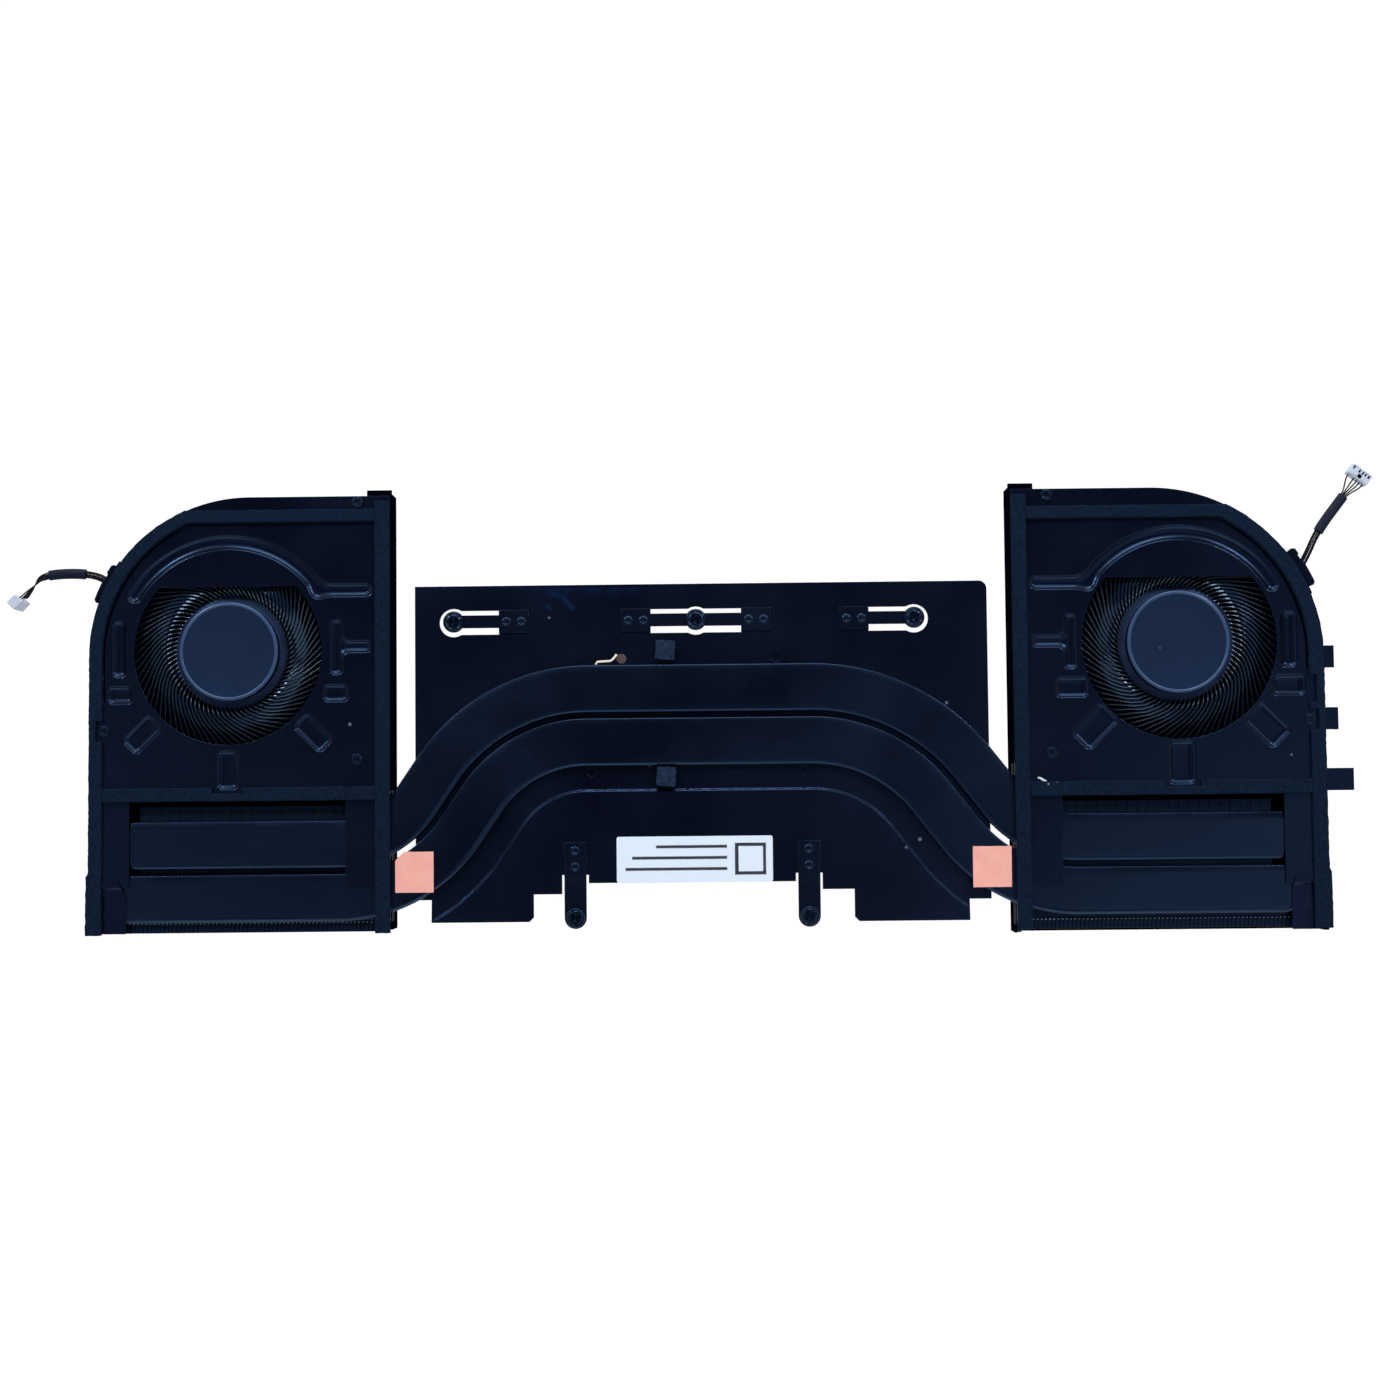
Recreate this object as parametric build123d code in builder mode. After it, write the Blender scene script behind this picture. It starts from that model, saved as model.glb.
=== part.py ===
from build123d import *
from dataclasses import dataclass
import math
import os

os.makedirs("parts", exist_ok=True)

# Cooling module of a laptop: two blowers with fin stacks, joined by a pressed plate that carries
# two flat heat pipes. It lies with the side that meets the circuit board down. X runs across the
# module, Y from the air outlets to the back of the blowers, Z up. Millimetres.

# Thicknesses and heights, from the floor up
base_t = 0.6
frame_h = 7.0
cover_t = 0.5
foam_t = 1.2
pipe_t = 2.2
pipe_headroom = 0.1
plate_t = 0.8
plate_step = 0.6
cold_plate_t = 1.5
arm_t = 0.4
sticker_t = 0.1
fit = 0.02

# Blowers: each size is measured from the impeller's axis
fan_spacing = 257.4
fan_back = 41.9
frame_wall = 1.5
wall_steps = 12
left_outer = 37.4
left_inner = 43.9
left_front = 75.6
left_corner_r = 43.0
left_bay_back = 40.2
left_leg_end = 63.7
left_pipe_notch = 38.0
left_window_outer = 26.3
left_inlet_r = 25.4
left_hub_r = 13.4
left_ring_r = 15.5
left_tip_r = 28.0
left_pad_w = 5.6
left_pad_l = 10.5
left_key_w = 6.6
left_key_h = 4.8
right_outer = 38.7
right_inner = 45.0
right_front = 78.0
right_corner_r = 46.0
right_bay_back = 41.3
right_leg_end = 65.3
right_pipe_notch = 32.4
right_window_outer = 28.0
right_inlet_r = 26.3
right_hub_r = 13.9
right_ring_r = 16.0
right_tip_r = 28.8
right_pad_w = 7.4
right_pad_l = 12.0
right_key_w = 8.9
right_key_h = 5.5
window_inner = 31.8
inlet_chord = 18.0
inlet_sides = 46
back_tab_w = 6.2
back_tab_reach = 1.6
front_stub = 2.0

# Stamped grooves of the cover
groove_depth = 0.3
rib_r = 29.4
rib_w = 4.0
rib_from = 31.0
rib_to = 145.0
rib_tail_y = 16.0
rib_steps = 9
bar_w = 4.2
bar_l = 15.2
bar_x = 29.4
branch_w = 3.6
key_x = 29.2
key_y = -12.4
pad_ring_r = 32.7
low_pad_y = -32.6

# Impeller and motor
blade_count = 79
blade_t = 0.44
blade_sweep = 30.0
blade_root = 0.5
blade_bottom = 1.4
blade_top = 6.6
hub_top = 7.4
hub_wall = 0.8
hub_ceiling = 0.7
hub_sides = 18
boss_r = 2.2
boss_h = 1.0
shaft_r = 1.0
shaft_gap = 0.2
socket_depth = 0.4
bearing_clear = 0.03
end_play = 0.3
sleeve_r = 2.2
magnet_t = 1.6
air_gap = 0.5
pole_count = 6
pole_w = 4.0
stator_core_r = 5.2
stator_h = 3.4
board_r = 10.0
board_t = 0.3
board_tail_w = 6.0
board_tail_l = 22.0

# Cover screws
cover_screw_head_r = 1.45
cover_screw_head_t = 0.35
cover_screw_r = 0.7
cover_screw_l = 4.0
screw_boss_r = 2.6
back_screw_x = 35.2
back_screw_inset = 1.7
side_screw_inset = 3.8
side_screw_y = -21.4
inner_screw_x = 34.9
inner_screw_y = -29.7
screw_clear = 0.1
tiny_sides = 6
small_sides = 8
round_sides = 12

# Gasket foam
foam_edge_w = 3.4
foam_inner_w = 4.0
foam_cross_w = 3.3
foam_back_w = 3.5
foam_back_bare = 3.6
foam_notch = 5.4
foam_steps = 18

# Fins
fin_pitch = 3.39
fin_t = 0.3
fin_front_gap = 0.5
fin_back_gap = 0.6
fin_outer_gap = 2.7

# Heat pipes: the upper pipe's route, from the middle screw across and the fan axes back
pipe_w = 13.0
pipe_pitch = 14.4
pipe_y = -11.2
bay_y = -52.5
left_bend_x = -55.8
left_slope = 56.0
left_top_r = 48.5
left_bay_r = 26.0
right_bend_x = 57.9
right_slope = 52.0
right_top_r = 55.0
right_bay_r = 26.0
lower_pipe_extra = 2.6

# Middle plate, from the middle screw across and the fan axes back
middle_from_left = 126.8
plate_left = -76.5
plate_right = 79.2
plate_back = 16.9
plate_corner_r = 2.2
plate_front = -63.7
left_foot_in = -44.5
left_foot_out = -72.2
left_foot_y = -74.0
left_shoulder_y = -66.6
left_side_y = -67.9
right_foot_in = 42.2
right_foot_out = 73.3
right_foot_y = -74.6
right_shoulder_y = -65.9
right_side_y = -68.9
foot_chamfer = 1.2
step_gap = 6.6
screw_row_y = 7.5
left_screw_x = -65.9
right_screw_x = 59.3
low_screw_y = -73.0
left_low_x = -33.4
right_low_x = 29.9
hole_y_upper = -3.0
hole_y_lower = -33.7
hole_x_upper = 21.6
hole_x_lower = 28.6
locating_hole_r = 1.2

# Spring arms and captive screws
arm_w = 3.1
arm_eye_r = 2.9
arm_pad_w = 6.2
arm_pad_l = 8.1
arm_reach = 12.3
slot_side = 2.0
low_arm_w = 5.7
low_arm_pad_l = 8.8
low_arm_drop = 0.5
low_arm_bend = 0.8
low_arm_gap = 0.9
head_r = 2.6
head_h = 0.9
screw_r = 1.0
neck_r = 1.12
screw_tip_z = 1.2

# Cold plates, foam blocks, label and foils
left_cold_x = -26.3
left_cold_w = 34.0
left_cold_d = 32.0
right_cold_x = 25.2
right_cold_w = 38.0
right_cold_d = 36.0
cold_y = -18.5
cold_corner_r = 2.0
block_w = 5.3
block_h = 2.3
block_x = -8.4
label_w = 42.2
label_d = 12.4
label_x = -0.9
foil_w = 10.4
foil_d = 11.0
foil_gap = 0.6
foil_y = -60.2
foil_cut = 2.4

# Tape over the outer end of the fins
tape_w = 8.4
tape_d = 12.4
tape_tuck = 2.0

# Side tabs of the right cover: how far back each one starts, its depth and reach
side_tab_d = 6.0
side_tab_ys = [-4.5, -21.2, -37.6]
side_tab_reaches = [2.9, 3.7, 7.5]
side_tab_lip = 2.2

# Leads: routes from the impeller's axis outwards and back, with the height above the floor
lead_w = 2.2
lead_t = 1.6
left_lead = [
    (27.6, 15.4, 5.7),
    (31.9, 18.7, 5.7),
    (37.6, 21.9, 5.5),
    (51.6, 21.8, 4.3),
    (54.4, 18.4, 3.7),
    (57.4, 15.4, 3.2),
]
right_lead = [
    (31.2, 15.8, 5.7),
    (35.2, 22.2, 5.7),
    (38.9, 30.0, 4.9),
    (47.4, 40.1, 1.9),
    (50.7, 44.4, 1.5),
]
plug_w = 6.4
plug_l = 3.2
plug_h = 3.0
plug_edge = 0.4
wire_notch_h = 3.2
clip_from = 21.0
clip_to = 36.0
clip_post = 2.0
clip_gap = 0.9
clip_t = 1.0
clip_z = 1.6
clip_h = 2.6

# Levels and places worked out from the sizes above
frame_top = base_t + frame_h
cover_top = frame_top + cover_t
pipe_top = frame_top - pipe_headroom
plate_top = pipe_top - pipe_t
plate_bottom = plate_top - plate_t
ledge_top = plate_top + plate_step
module_front = max(left_front, right_front)
module_w = left_outer + fan_spacing + right_outer + max(side_tab_reaches)
left_x = left_outer - module_w / 2
right_x = left_x + fan_spacing
axis_y = (module_front - fan_back - back_tab_reach) / 2
middle_x = left_x + middle_from_left
step_shift = pipe_pitch + pipe_w / 2 + step_gap
boss_bottom = hub_top - hub_ceiling - boss_h
socket_top = hub_top - hub_ceiling + socket_depth
sleeve_top = boss_bottom - end_play


@dataclass
class Fan:
    """One blower. Its plan is drawn outwards from the impeller's axis: side is +1 or -1 along X."""

    name: str
    side: int
    axis_x: float
    outer: float
    inner: float
    front: float
    corner_r: float
    bay_back: float
    leg_end: float
    pipe_notch: float
    window_outer: float
    inlet_r: float
    hub_r: float
    ring_r: float
    tip_r: float
    pad_w: float
    pad_l: float
    key_w: float
    key_h: float
    lead: list
    plug_stands: bool

    def at(self, z):
        return Plane((self.axis_x, axis_y, z))

    def screw_places(self):
        return [
            (-self.side * back_screw_x, fan_back - back_screw_inset),
            (self.side * (self.outer - side_screw_inset), side_screw_y),
            (-self.side * inner_screw_x, inner_screw_y),
        ]


left_fan = Fan(
    "left", -1, left_x, left_outer, left_inner, left_front, left_corner_r, left_bay_back,
    left_leg_end, left_pipe_notch, left_window_outer, left_inlet_r, left_hub_r, left_ring_r, left_tip_r,
    left_pad_w, left_pad_l, left_key_w, left_key_h, left_lead, True,
)
right_fan = Fan(
    "right", 1, right_x, right_outer, right_inner, right_front, right_corner_r, right_bay_back,
    right_leg_end, right_pipe_notch, right_window_outer, right_inlet_r, right_hub_r, right_ring_r, right_tip_r,
    right_pad_w, right_pad_l, right_key_w, right_key_h, right_lead, False,
)


def finish(piece, name):
    """Labels a piece and writes its STEP file."""
    piece.part.label = name
    export_step(piece.part, f"parts/{name}.step")


def middle_at(z):
    return Plane((middle_x, axis_y, z))


def span(x_from, x_to, y_from, y_to):
    """A rectangle between two pairs of limits, given in any order."""
    with BuildSketch() as area:
        with Locations(((x_from + x_to) / 2, (y_from + y_to) / 2)):
            Rectangle(abs(x_to - x_from), abs(y_to - y_from))
    return area.sketch


def housing(fan, inset=0, front_inset=0, steps=0):
    """The blower's plan: square but for one large corner, round or in short straight steps."""
    outer = fan.side * (fan.outer - inset)
    inner = -fan.side * (fan.inner - inset)
    back = fan_back - inset
    front = -fan.front + front_inset
    r = fan.corner_r - inset
    with BuildSketch() as plan:
        with BuildLine():
            Polyline((outer, back - r), (outer, front), (inner, front), (inner, back), (outer - fan.side * r, back))
            if steps:
                turns = [math.pi / 2 * i / steps for i in range(steps + 1)]
                corner = [(outer - fan.side * r * (1 - math.cos(t)), back - r * (1 - math.sin(t))) for t in turns]
                Polyline(*corner)
            else:
                CenterArc((outer - fan.side * r, back - r), r, 90 - fan.side * 90, fan.side * 90)
        make_face()
    return plan.sketch


def arch(side, x, y, r, width, turn_from, turn_to, steps):
    """Part of a ring round a point, in short straight steps between two angles up from the outer side."""
    turns = [math.radians(turn_from + (turn_to - turn_from) * i / steps) for i in range(steps + 1)]
    far = [(side * (x + r * math.cos(t)), y + r * math.sin(t)) for t in turns]
    near = [(side * (x + (r - width) * math.cos(t)), y + (r - width) * math.sin(t)) for t in turns]
    with BuildSketch() as ring:
        Polygon(*far, *near[::-1], align=None)
    return ring.sketch


def corner_band(fan, inset, width, turn_from, turn_to, steps):
    """A strip along the blower's round corner."""
    r = fan.corner_r - inset
    return arch(
        fan.side, fan.outer - fan.corner_r, fan_back - fan.corner_r, r, width, turn_from, turn_to, steps
    )


def inlet(fan):
    """The air inlet: a circle cut off by a straight chord at the back."""
    with BuildSketch() as hole:
        RegularPolygon(fan.inlet_r, inlet_sides)
        add(span(-fan.inlet_r, fan.inlet_r, inlet_chord, fan.inlet_r + 1), mode=Mode.SUBTRACT)
    return hole.sketch


def bay_window(fan):
    """The opening over the fins: between the legs at the back, and between the rails at the front."""
    s = fan.side
    with BuildSketch() as window:
        add(span(-s * window_inner, s * fan.window_outer, -fan.bay_back, -fan.front - 1))
        add(span(
            -s * (fan.inner - foam_inner_w), s * (fan.outer - foam_edge_w), -fan.leg_end, -fan.front - 1
        ))
    return window.sketch


def grooves(fan):
    """The stiffening grooves stamped into the cover round the inlet."""
    s = fan.side
    pad_x = s * pad_ring_r * math.cos(math.radians(45))
    pad_y = -pad_ring_r * math.sin(math.radians(45))
    tail_x = -s * rib_r * math.sin(math.radians(rib_to - 90))
    tail_end = -s * (fan.inner - foam_inner_w - 1)
    with BuildSketch() as plan:
        add(arch(s, 0, 0, rib_r + rib_w / 2, rib_w, rib_from, rib_to, rib_steps))
        add(span(tail_x + s * rib_w / 3, tail_end, rib_tail_y - rib_w / 2, rib_tail_y + rib_w / 2))
        with Locations((s * bar_x, 0), (-s * bar_x, 0)):
            Rectangle(bar_w, bar_l)
        add(span(-s * bar_x, tail_end, -branch_w / 2, branch_w / 2))
        with Locations((s * key_x, key_y), (-s * key_x, key_y)):
            Rectangle(fan.key_w, fan.key_h)
        with Locations((pad_x, pad_y)):
            Rectangle(fan.pad_w, fan.pad_l, rotation=s * 45)
        with Locations((-pad_x, pad_y)):
            Rectangle(fan.pad_w, fan.pad_l, rotation=-s * 45)
        with Locations((0, low_pad_y)):
            Rectangle(fan.pad_w, fan.pad_l)
    return plan.sketch


def fan_base(fan):
    """The sheet floor of a blower, with a folded wall on its inner side and a tab at the back corner."""
    s = fan.side
    wall_in = -s * fan.inner
    wall_out = -s * (fan.inner + base_t)
    tab_end = -s * (fan.inner - back_tab_w)
    with BuildPart() as base:
        with BuildSketch(fan.at(0)):
            add(housing(fan))
            add(span(wall_in, wall_out, fan_back + base_t, -fan.front))
            add(span(wall_in, tab_end, fan_back, fan_back + base_t))
        extrude(amount=base_t)
        with BuildSketch(fan.at(base_t)):
            add(span(wall_in, wall_out, fan_back + base_t, -fan.pipe_notch))
            add(span(wall_in, wall_out, -fan.front + front_stub, -fan.front))
            add(span(wall_in, tab_end, fan_back, fan_back + base_t))
        extrude(amount=frame_h)
        with BuildSketch(fan.at(frame_top - base_t)):
            add(span(wall_out, tab_end, fan_back + base_t, fan_back + back_tab_reach))
        extrude(amount=base_t)
    finish(base, f"{fan.name}_fan_base")


def fan_frame(fan):
    """The moulded wall of a blower, low where the pipes cross it, with screw bosses and a wire clip."""
    s = fan.side
    places = fan.screw_places()
    with BuildPart() as frame:
        with BuildSketch(fan.at(base_t)):
            add(housing(fan))
            add(housing(fan, frame_wall, -1, wall_steps), mode=Mode.SUBTRACT)
            with Locations(*places):
                RegularPolygon(screw_boss_r, small_sides)
            add(span(places[2][0], -s * (fan.inner - frame_wall), places[2][1] - 0.8, places[2][1] + 0.8))
            add(span(-s * fan.inner, s * fan.outer, fan_back + screw_boss_r, fan_back), mode=Mode.SUBTRACT)
        extrude(amount=frame_h)
        with BuildSketch(fan.at(frame_top)):
            add(span(
                -s * (fan.inner + 1), -s * (fan.inner - frame_wall - 1), -fan.pipe_notch, -fan.front - 1
            ))
        extrude(amount=-(frame_top - plate_top + pipe_headroom), mode=Mode.SUBTRACT)
        with BuildSketch(fan.at(frame_top)):
            with Locations(*places):
                RegularPolygon(cover_screw_r + screw_clear, tiny_sides)
        extrude(amount=-cover_screw_l - screw_clear, mode=Mode.SUBTRACT)
        with BuildSketch(fan.at(clip_z)):
            add(corner_band(fan, -clip_gap - clip_t, clip_t, clip_from, clip_to, 2))
            add(corner_band(fan, -clip_gap - clip_t, clip_gap + 2 * clip_t, clip_from, clip_from + clip_post, 1))
            add(corner_band(fan, -clip_gap - clip_t, clip_gap + 2 * clip_t, clip_to - clip_post, clip_to, 1))
        extrude(amount=clip_h)
        with BuildSketch(fan.at(frame_top)):
            add(corner_band(fan, -0.5, frame_wall + 1, clip_from + clip_post, clip_to - clip_post, 2))
        extrude(amount=-wire_notch_h, mode=Mode.SUBTRACT)
    finish(frame, f"{fan.name}_fan_frame")


def fan_cover(fan):
    """The stamped cover of a blower, with its inlet, grooves and the two legs beside the fins."""
    with BuildPart() as cover:
        with BuildSketch(fan.at(frame_top)):
            add(housing(fan))
            add(inlet(fan), mode=Mode.SUBTRACT)
            add(bay_window(fan), mode=Mode.SUBTRACT)
            with Locations(*fan.screw_places()):
                RegularPolygon(cover_screw_r + screw_clear, tiny_sides, mode=Mode.SUBTRACT)
        extrude(amount=cover_t)
        with BuildSketch(fan.at(cover_top)):
            add(grooves(fan))
        extrude(amount=-groove_depth, mode=Mode.SUBTRACT)
        if fan.side > 0:
            with BuildSketch(fan.at(frame_top)):
                for y, reach in zip(side_tab_ys, side_tab_reaches):
                    add(span(fan.outer, fan.outer + reach, y - side_tab_d / 2, y + side_tab_d / 2))
            extrude(amount=cover_t)
            lip_x = fan.outer + side_tab_reaches[1]
            with BuildSketch(fan.at(frame_top)):
                add(span(lip_x - cover_t, lip_x, side_tab_ys[1] - side_tab_d / 2, side_tab_ys[1] + side_tab_d / 2))
            extrude(amount=-side_tab_lip)
    finish(cover, f"{fan.name}_fan_cover")


def cover_screws(fan):
    """The three screws that hold a cover on its frame."""
    with BuildPart() as screws:
        with BuildSketch(fan.at(cover_top)):
            with Locations(*fan.screw_places()):
                RegularPolygon(cover_screw_head_r, tiny_sides)
        extrude(amount=cover_screw_head_t)
        with BuildSketch(fan.at(cover_top)):
            with Locations(*fan.screw_places()):
                RegularPolygon(cover_screw_r, tiny_sides)
        extrude(amount=-cover_screw_l - cover_t)
    finish(screws, f"{fan.name}_cover_screws")


def blade_outline(fan):
    """Corners of one blade: it sweeps backwards from the ring and thins out to its tip."""
    sweep_turn = math.radians(blade_sweep)
    root = Vector(fan.ring_r - blade_root, 0)
    tip = Vector(fan.tip_r * math.cos(sweep_turn), -fan.side * fan.tip_r * math.sin(sweep_turn))
    along = (tip - root).normalized()
    half = Vector(-along.Y, along.X) * (blade_t / 2)
    return [root - half, tip, root + half]


def impeller(fan):
    """The moulded wheel of a blower: a cup for the motor, a ring round it and the blades on the ring."""
    with BuildPart() as wheel:
        with BuildSketch(fan.at(blade_bottom)):
            RegularPolygon(fan.hub_r, hub_sides)
            RegularPolygon(fan.hub_r - hub_wall, hub_sides, mode=Mode.SUBTRACT)
        extrude(amount=hub_top - blade_bottom)
        with BuildSketch(fan.at(hub_top - hub_ceiling)):
            RegularPolygon(fan.hub_r - hub_wall / 2, hub_sides)
        extrude(amount=hub_ceiling)
        with BuildSketch(fan.at(boss_bottom)):
            RegularPolygon(boss_r, small_sides)
        extrude(amount=boss_h)
        with BuildSketch(fan.at(boss_bottom)):
            RegularPolygon(shaft_r + fit, round_sides, major_radius=False)
        extrude(amount=socket_top - boss_bottom, mode=Mode.SUBTRACT)
        with BuildSketch(fan.at(blade_bottom)):
            RegularPolygon(fan.ring_r, hub_sides)
            RegularPolygon(fan.hub_r - hub_wall / 2, hub_sides, mode=Mode.SUBTRACT)
            with PolarLocations(0, blade_count):
                Polygon(*blade_outline(fan), align=None)
        extrude(amount=blade_top - blade_bottom)
    finish(wheel, f"{fan.name}_impeller")


def motor(fan):
    """What turns the impeller: magnet ring, shaft, bearing sleeve, stator and its small board."""
    magnet_r = fan.hub_r - hub_wall - fit
    magnet_bore = magnet_r - magnet_t
    magnet_inner = magnet_bore * math.cos(math.pi / hub_sides)
    board_top = base_t + board_t
    with BuildPart() as magnet:
        with BuildSketch(fan.at(hub_top - hub_ceiling)):
            RegularPolygon(magnet_r, hub_sides)
            RegularPolygon(magnet_bore, hub_sides, mode=Mode.SUBTRACT)
        extrude(amount=-(stator_h + boss_h))
    finish(magnet, f"{fan.name}_rotor_magnet")

    with BuildPart() as shaft:
        with BuildSketch(fan.at(base_t + shaft_gap)):
            Circle(shaft_r)
        extrude(amount=socket_top - base_t - shaft_gap)
    finish(shaft, f"{fan.name}_fan_shaft")

    with BuildPart() as sleeve:
        with BuildSketch(fan.at(base_t)):
            RegularPolygon(sleeve_r, small_sides)
            RegularPolygon(shaft_r + bearing_clear, round_sides, major_radius=False, mode=Mode.SUBTRACT)
        extrude(amount=sleeve_top - base_t)
    finish(sleeve, f"{fan.name}_bearing_sleeve")

    with BuildPart() as stator:
        pole_end = magnet_inner - air_gap
        with BuildSketch(fan.at(board_top)):
            RegularPolygon(stator_core_r, round_sides)
            with PolarLocations(0, pole_count):
                add(span(0, pole_end, -pole_w / 2, pole_w / 2))
            RegularPolygon(sleeve_r + fit, small_sides, mode=Mode.SUBTRACT)
        extrude(amount=stator_h)
    finish(stator, f"{fan.name}_stator")

    with BuildPart() as board:
        with BuildSketch(fan.at(base_t)):
            RegularPolygon(board_r, small_sides)
            add(span(0, fan.side * board_tail_l, -board_tail_w / 2, board_tail_w / 2))
            RegularPolygon(sleeve_r + fit, small_sides, mode=Mode.SUBTRACT)
        extrude(amount=board_t)
    finish(board, f"{fan.name}_motor_board")


def fin_stack(fan):
    """The fins between a blower and its outlet: thin walls that hang from the sheet under the pipes."""
    s = fan.side
    inner_end = fan.inner - frame_wall - fin_outer_gap / 2
    outer_end = fan.window_outer - fin_outer_gap
    back = -fan.bay_back - fin_back_gap
    front = -fan.front + fin_front_gap
    channels = int((inner_end + outer_end - fin_t) / fin_pitch)
    middle = s * (outer_end - inner_end) / 2
    width = channels * fin_pitch + fin_t
    with BuildPart() as stack:
        with BuildSketch(fan.at(base_t)):
            add(span(middle - width / 2, middle + width / 2, back, front))
        extrude(amount=plate_top - base_t)
        with BuildSketch(fan.at(base_t)):
            with Locations((middle, (back + front) / 2)):
                with GridLocations(fin_pitch, 1, channels, 1):
                    Rectangle(fin_pitch - fin_t, back - front)
        extrude(amount=plate_top - base_t - fin_t, mode=Mode.SUBTRACT)
    finish(stack, f"{fan.name}_fin_stack")


def gaskets(fan):
    """The foam strips on a cover: along the outer side and the back, along the inner side, and across."""
    s = fan.side
    inner_edge = -s * (fan.inner - foam_inner_w)
    outer_edge = s * (fan.outer - foam_edge_w)
    back_top = fan_back - foam_back_bare
    back_low = back_top - foam_back_w
    lift = back_top - fan_back + fan.corner_r
    meet_turn = math.degrees(math.asin(lift / fan.corner_r))
    meet_r = fan.corner_r - foam_edge_w / 2
    meet_x = s * (fan.outer - fan.corner_r + meet_r * math.cos(math.radians(meet_turn)))
    screw_x, screw_y = fan.screw_places()[1]
    with BuildPart() as outer:
        with BuildSketch(fan.at(cover_top)):
            add(span(outer_edge, s * fan.outer, -fan.front, fan_back - fan.corner_r))
            add(corner_band(fan, 0, foam_edge_w, 0, meet_turn, foam_steps))
            add(span(inner_edge, meet_x, back_low, back_top))
            with Locations((screw_x, screw_y)):
                Rectangle(foam_notch * 0.75, foam_notch, mode=Mode.SUBTRACT)
        extrude(amount=foam_t)
    finish(outer, f"{fan.name}_outer_foam")

    with BuildPart() as inner:
        with BuildSketch(fan.at(cover_top)):
            add(span(-s * fan.inner, inner_edge, fan_back - frame_wall, -fan.front))
        extrude(amount=foam_t)
    finish(inner, f"{fan.name}_inner_foam")

    with BuildPart() as cross:
        notch_end = low_pad_y - fan.pad_l / 2 - fit
        with BuildSketch(fan.at(cover_top)):
            add(span(inner_edge, outer_edge, -fan.bay_back, -fan.bay_back + foam_cross_w))
            add(span(-fan.pad_w / 2 - 0.5, fan.pad_w / 2 + 0.5, low_pad_y, notch_end), mode=Mode.SUBTRACT)
        extrude(amount=foam_t)
    finish(cross, f"{fan.name}_cross_foam")


def end_tape(fan):
    """The thin tape that closes the outer end of the fins, tucked under the cover's leg."""
    s = fan.side
    tape_from = fan.outer - frame_wall - fit
    with BuildPart() as tape:
        with BuildSketch(fan.at(pipe_top)):
            add(span(s * tape_from, s * (tape_from - tape_w), -fan.leg_end + tape_tuck, -fan.leg_end - tape_d))
        extrude(amount=sticker_t)
    finish(tape, f"{fan.name}_end_tape")


def lead_and_plug(fan):
    """A blower's lead on its way from the wire clip, and the plug on its end."""
    points = [Vector(fan.axis_x + fan.side * u, axis_y + v, z) for u, v, z in fan.lead]
    runs = [b - a for a, b in zip(points, points[1:])]
    radii = []
    for first, second in zip(runs, runs[1:]):
        half_turn = math.radians(first.get_angle(second)) / 2
        radii.append(0.45 * min(first.length, second.length) / math.tan(half_turn))
    print(f"{fan.name} lead bend radii:", [round(r, 1) for r in radii])
    with BuildPart() as lead:
        with BuildLine() as route:
            FilletPolyline(*points, radius=radii)
        with BuildSketch(Plane(points[0], z_dir=runs[0])) as section:
            Rectangle(lead_t, lead_w)
        sweep(path=route.wire())
    section_area = section.sketch.area
    print(f"{fan.name} lead: {route.wire().length:.1f} mm, {lead.part.volume:.1f} mm3 of",
          f"{route.wire().length * section_area:.1f}")
    finish(lead, f"{fan.name}_lead")

    wide, high = (plug_h, plug_w) if fan.plug_stands else (plug_w, plug_h)
    heading = Vector(runs[-1].X, runs[-1].Y, 0).normalized()
    end = points[-1] + heading * (lead_w / 2 * abs(runs[-1].Z) / runs[-1].length)
    with BuildPart() as plug:
        with BuildSketch(Plane((end.X, end.Y, 0), x_dir=heading, z_dir=(0, 0, 1))):
            with Locations((plug_l / 2, 0)):
                Rectangle(plug_l, wide)
        extrude(amount=high)
        chamfer(plug.faces().sort_by(Axis.Z)[-1].edges(), plug_edge)
    finish(plug, f"{fan.name}_lead_plug")


def route(shift):
    """Corners and radii of a line beside the upper pipe's centre, shifted towards the front."""
    left_end = left_x - left_window_outer - middle_x
    right_end = right_x + right_window_outer - middle_x
    top, bay = pipe_y - shift, bay_y - shift
    left_turn, right_turn = math.radians(left_slope), math.radians(right_slope)
    left_top_x = left_bend_x + shift * math.tan(left_turn / 2)
    right_top_x = right_bend_x - shift * math.tan(right_turn / 2)
    left_bay_x = left_top_x - (top - bay) / math.tan(left_turn)
    right_bay_x = right_top_x + (top - bay) / math.tan(right_turn)
    corners = [
        (left_end, bay),
        (left_bay_x, bay),
        (left_top_x, top),
        (right_top_x, top),
        (right_bay_x, bay),
        (right_end, bay),
    ]
    return corners, [left_bay_r + shift, left_top_r - shift, right_top_r - shift, right_bay_r + shift]


def band(shift_from, shift_to, extra=0):
    """The plan between two lines that run beside the pipes."""
    with BuildSketch() as plan:
        with BuildLine():
            edges = []
            for shift in (shift_from, shift_to):
                corners, radii = route(shift)
                corners[0] = (corners[0][0] - extra, corners[0][1])
                corners[-1] = (corners[-1][0] + extra, corners[-1][1])
                edges.append(FilletPolyline(*corners, radius=radii))
            Line(edges[0] @ 0, edges[1] @ 0)
            Line(edges[0] @ 1, edges[1] @ 1)
        make_face()
    return plan.sketch


def heat_pipe(name, shift, extra):
    """A flattened pipe that lies on the plate and on both fin stacks."""
    with BuildPart() as pipe:
        with BuildSketch(middle_at(plate_top)):
            add(band(shift - pipe_w / 2, shift + pipe_w / 2, extra))
        extrude(amount=pipe_t)
    finish(pipe, name)


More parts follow.
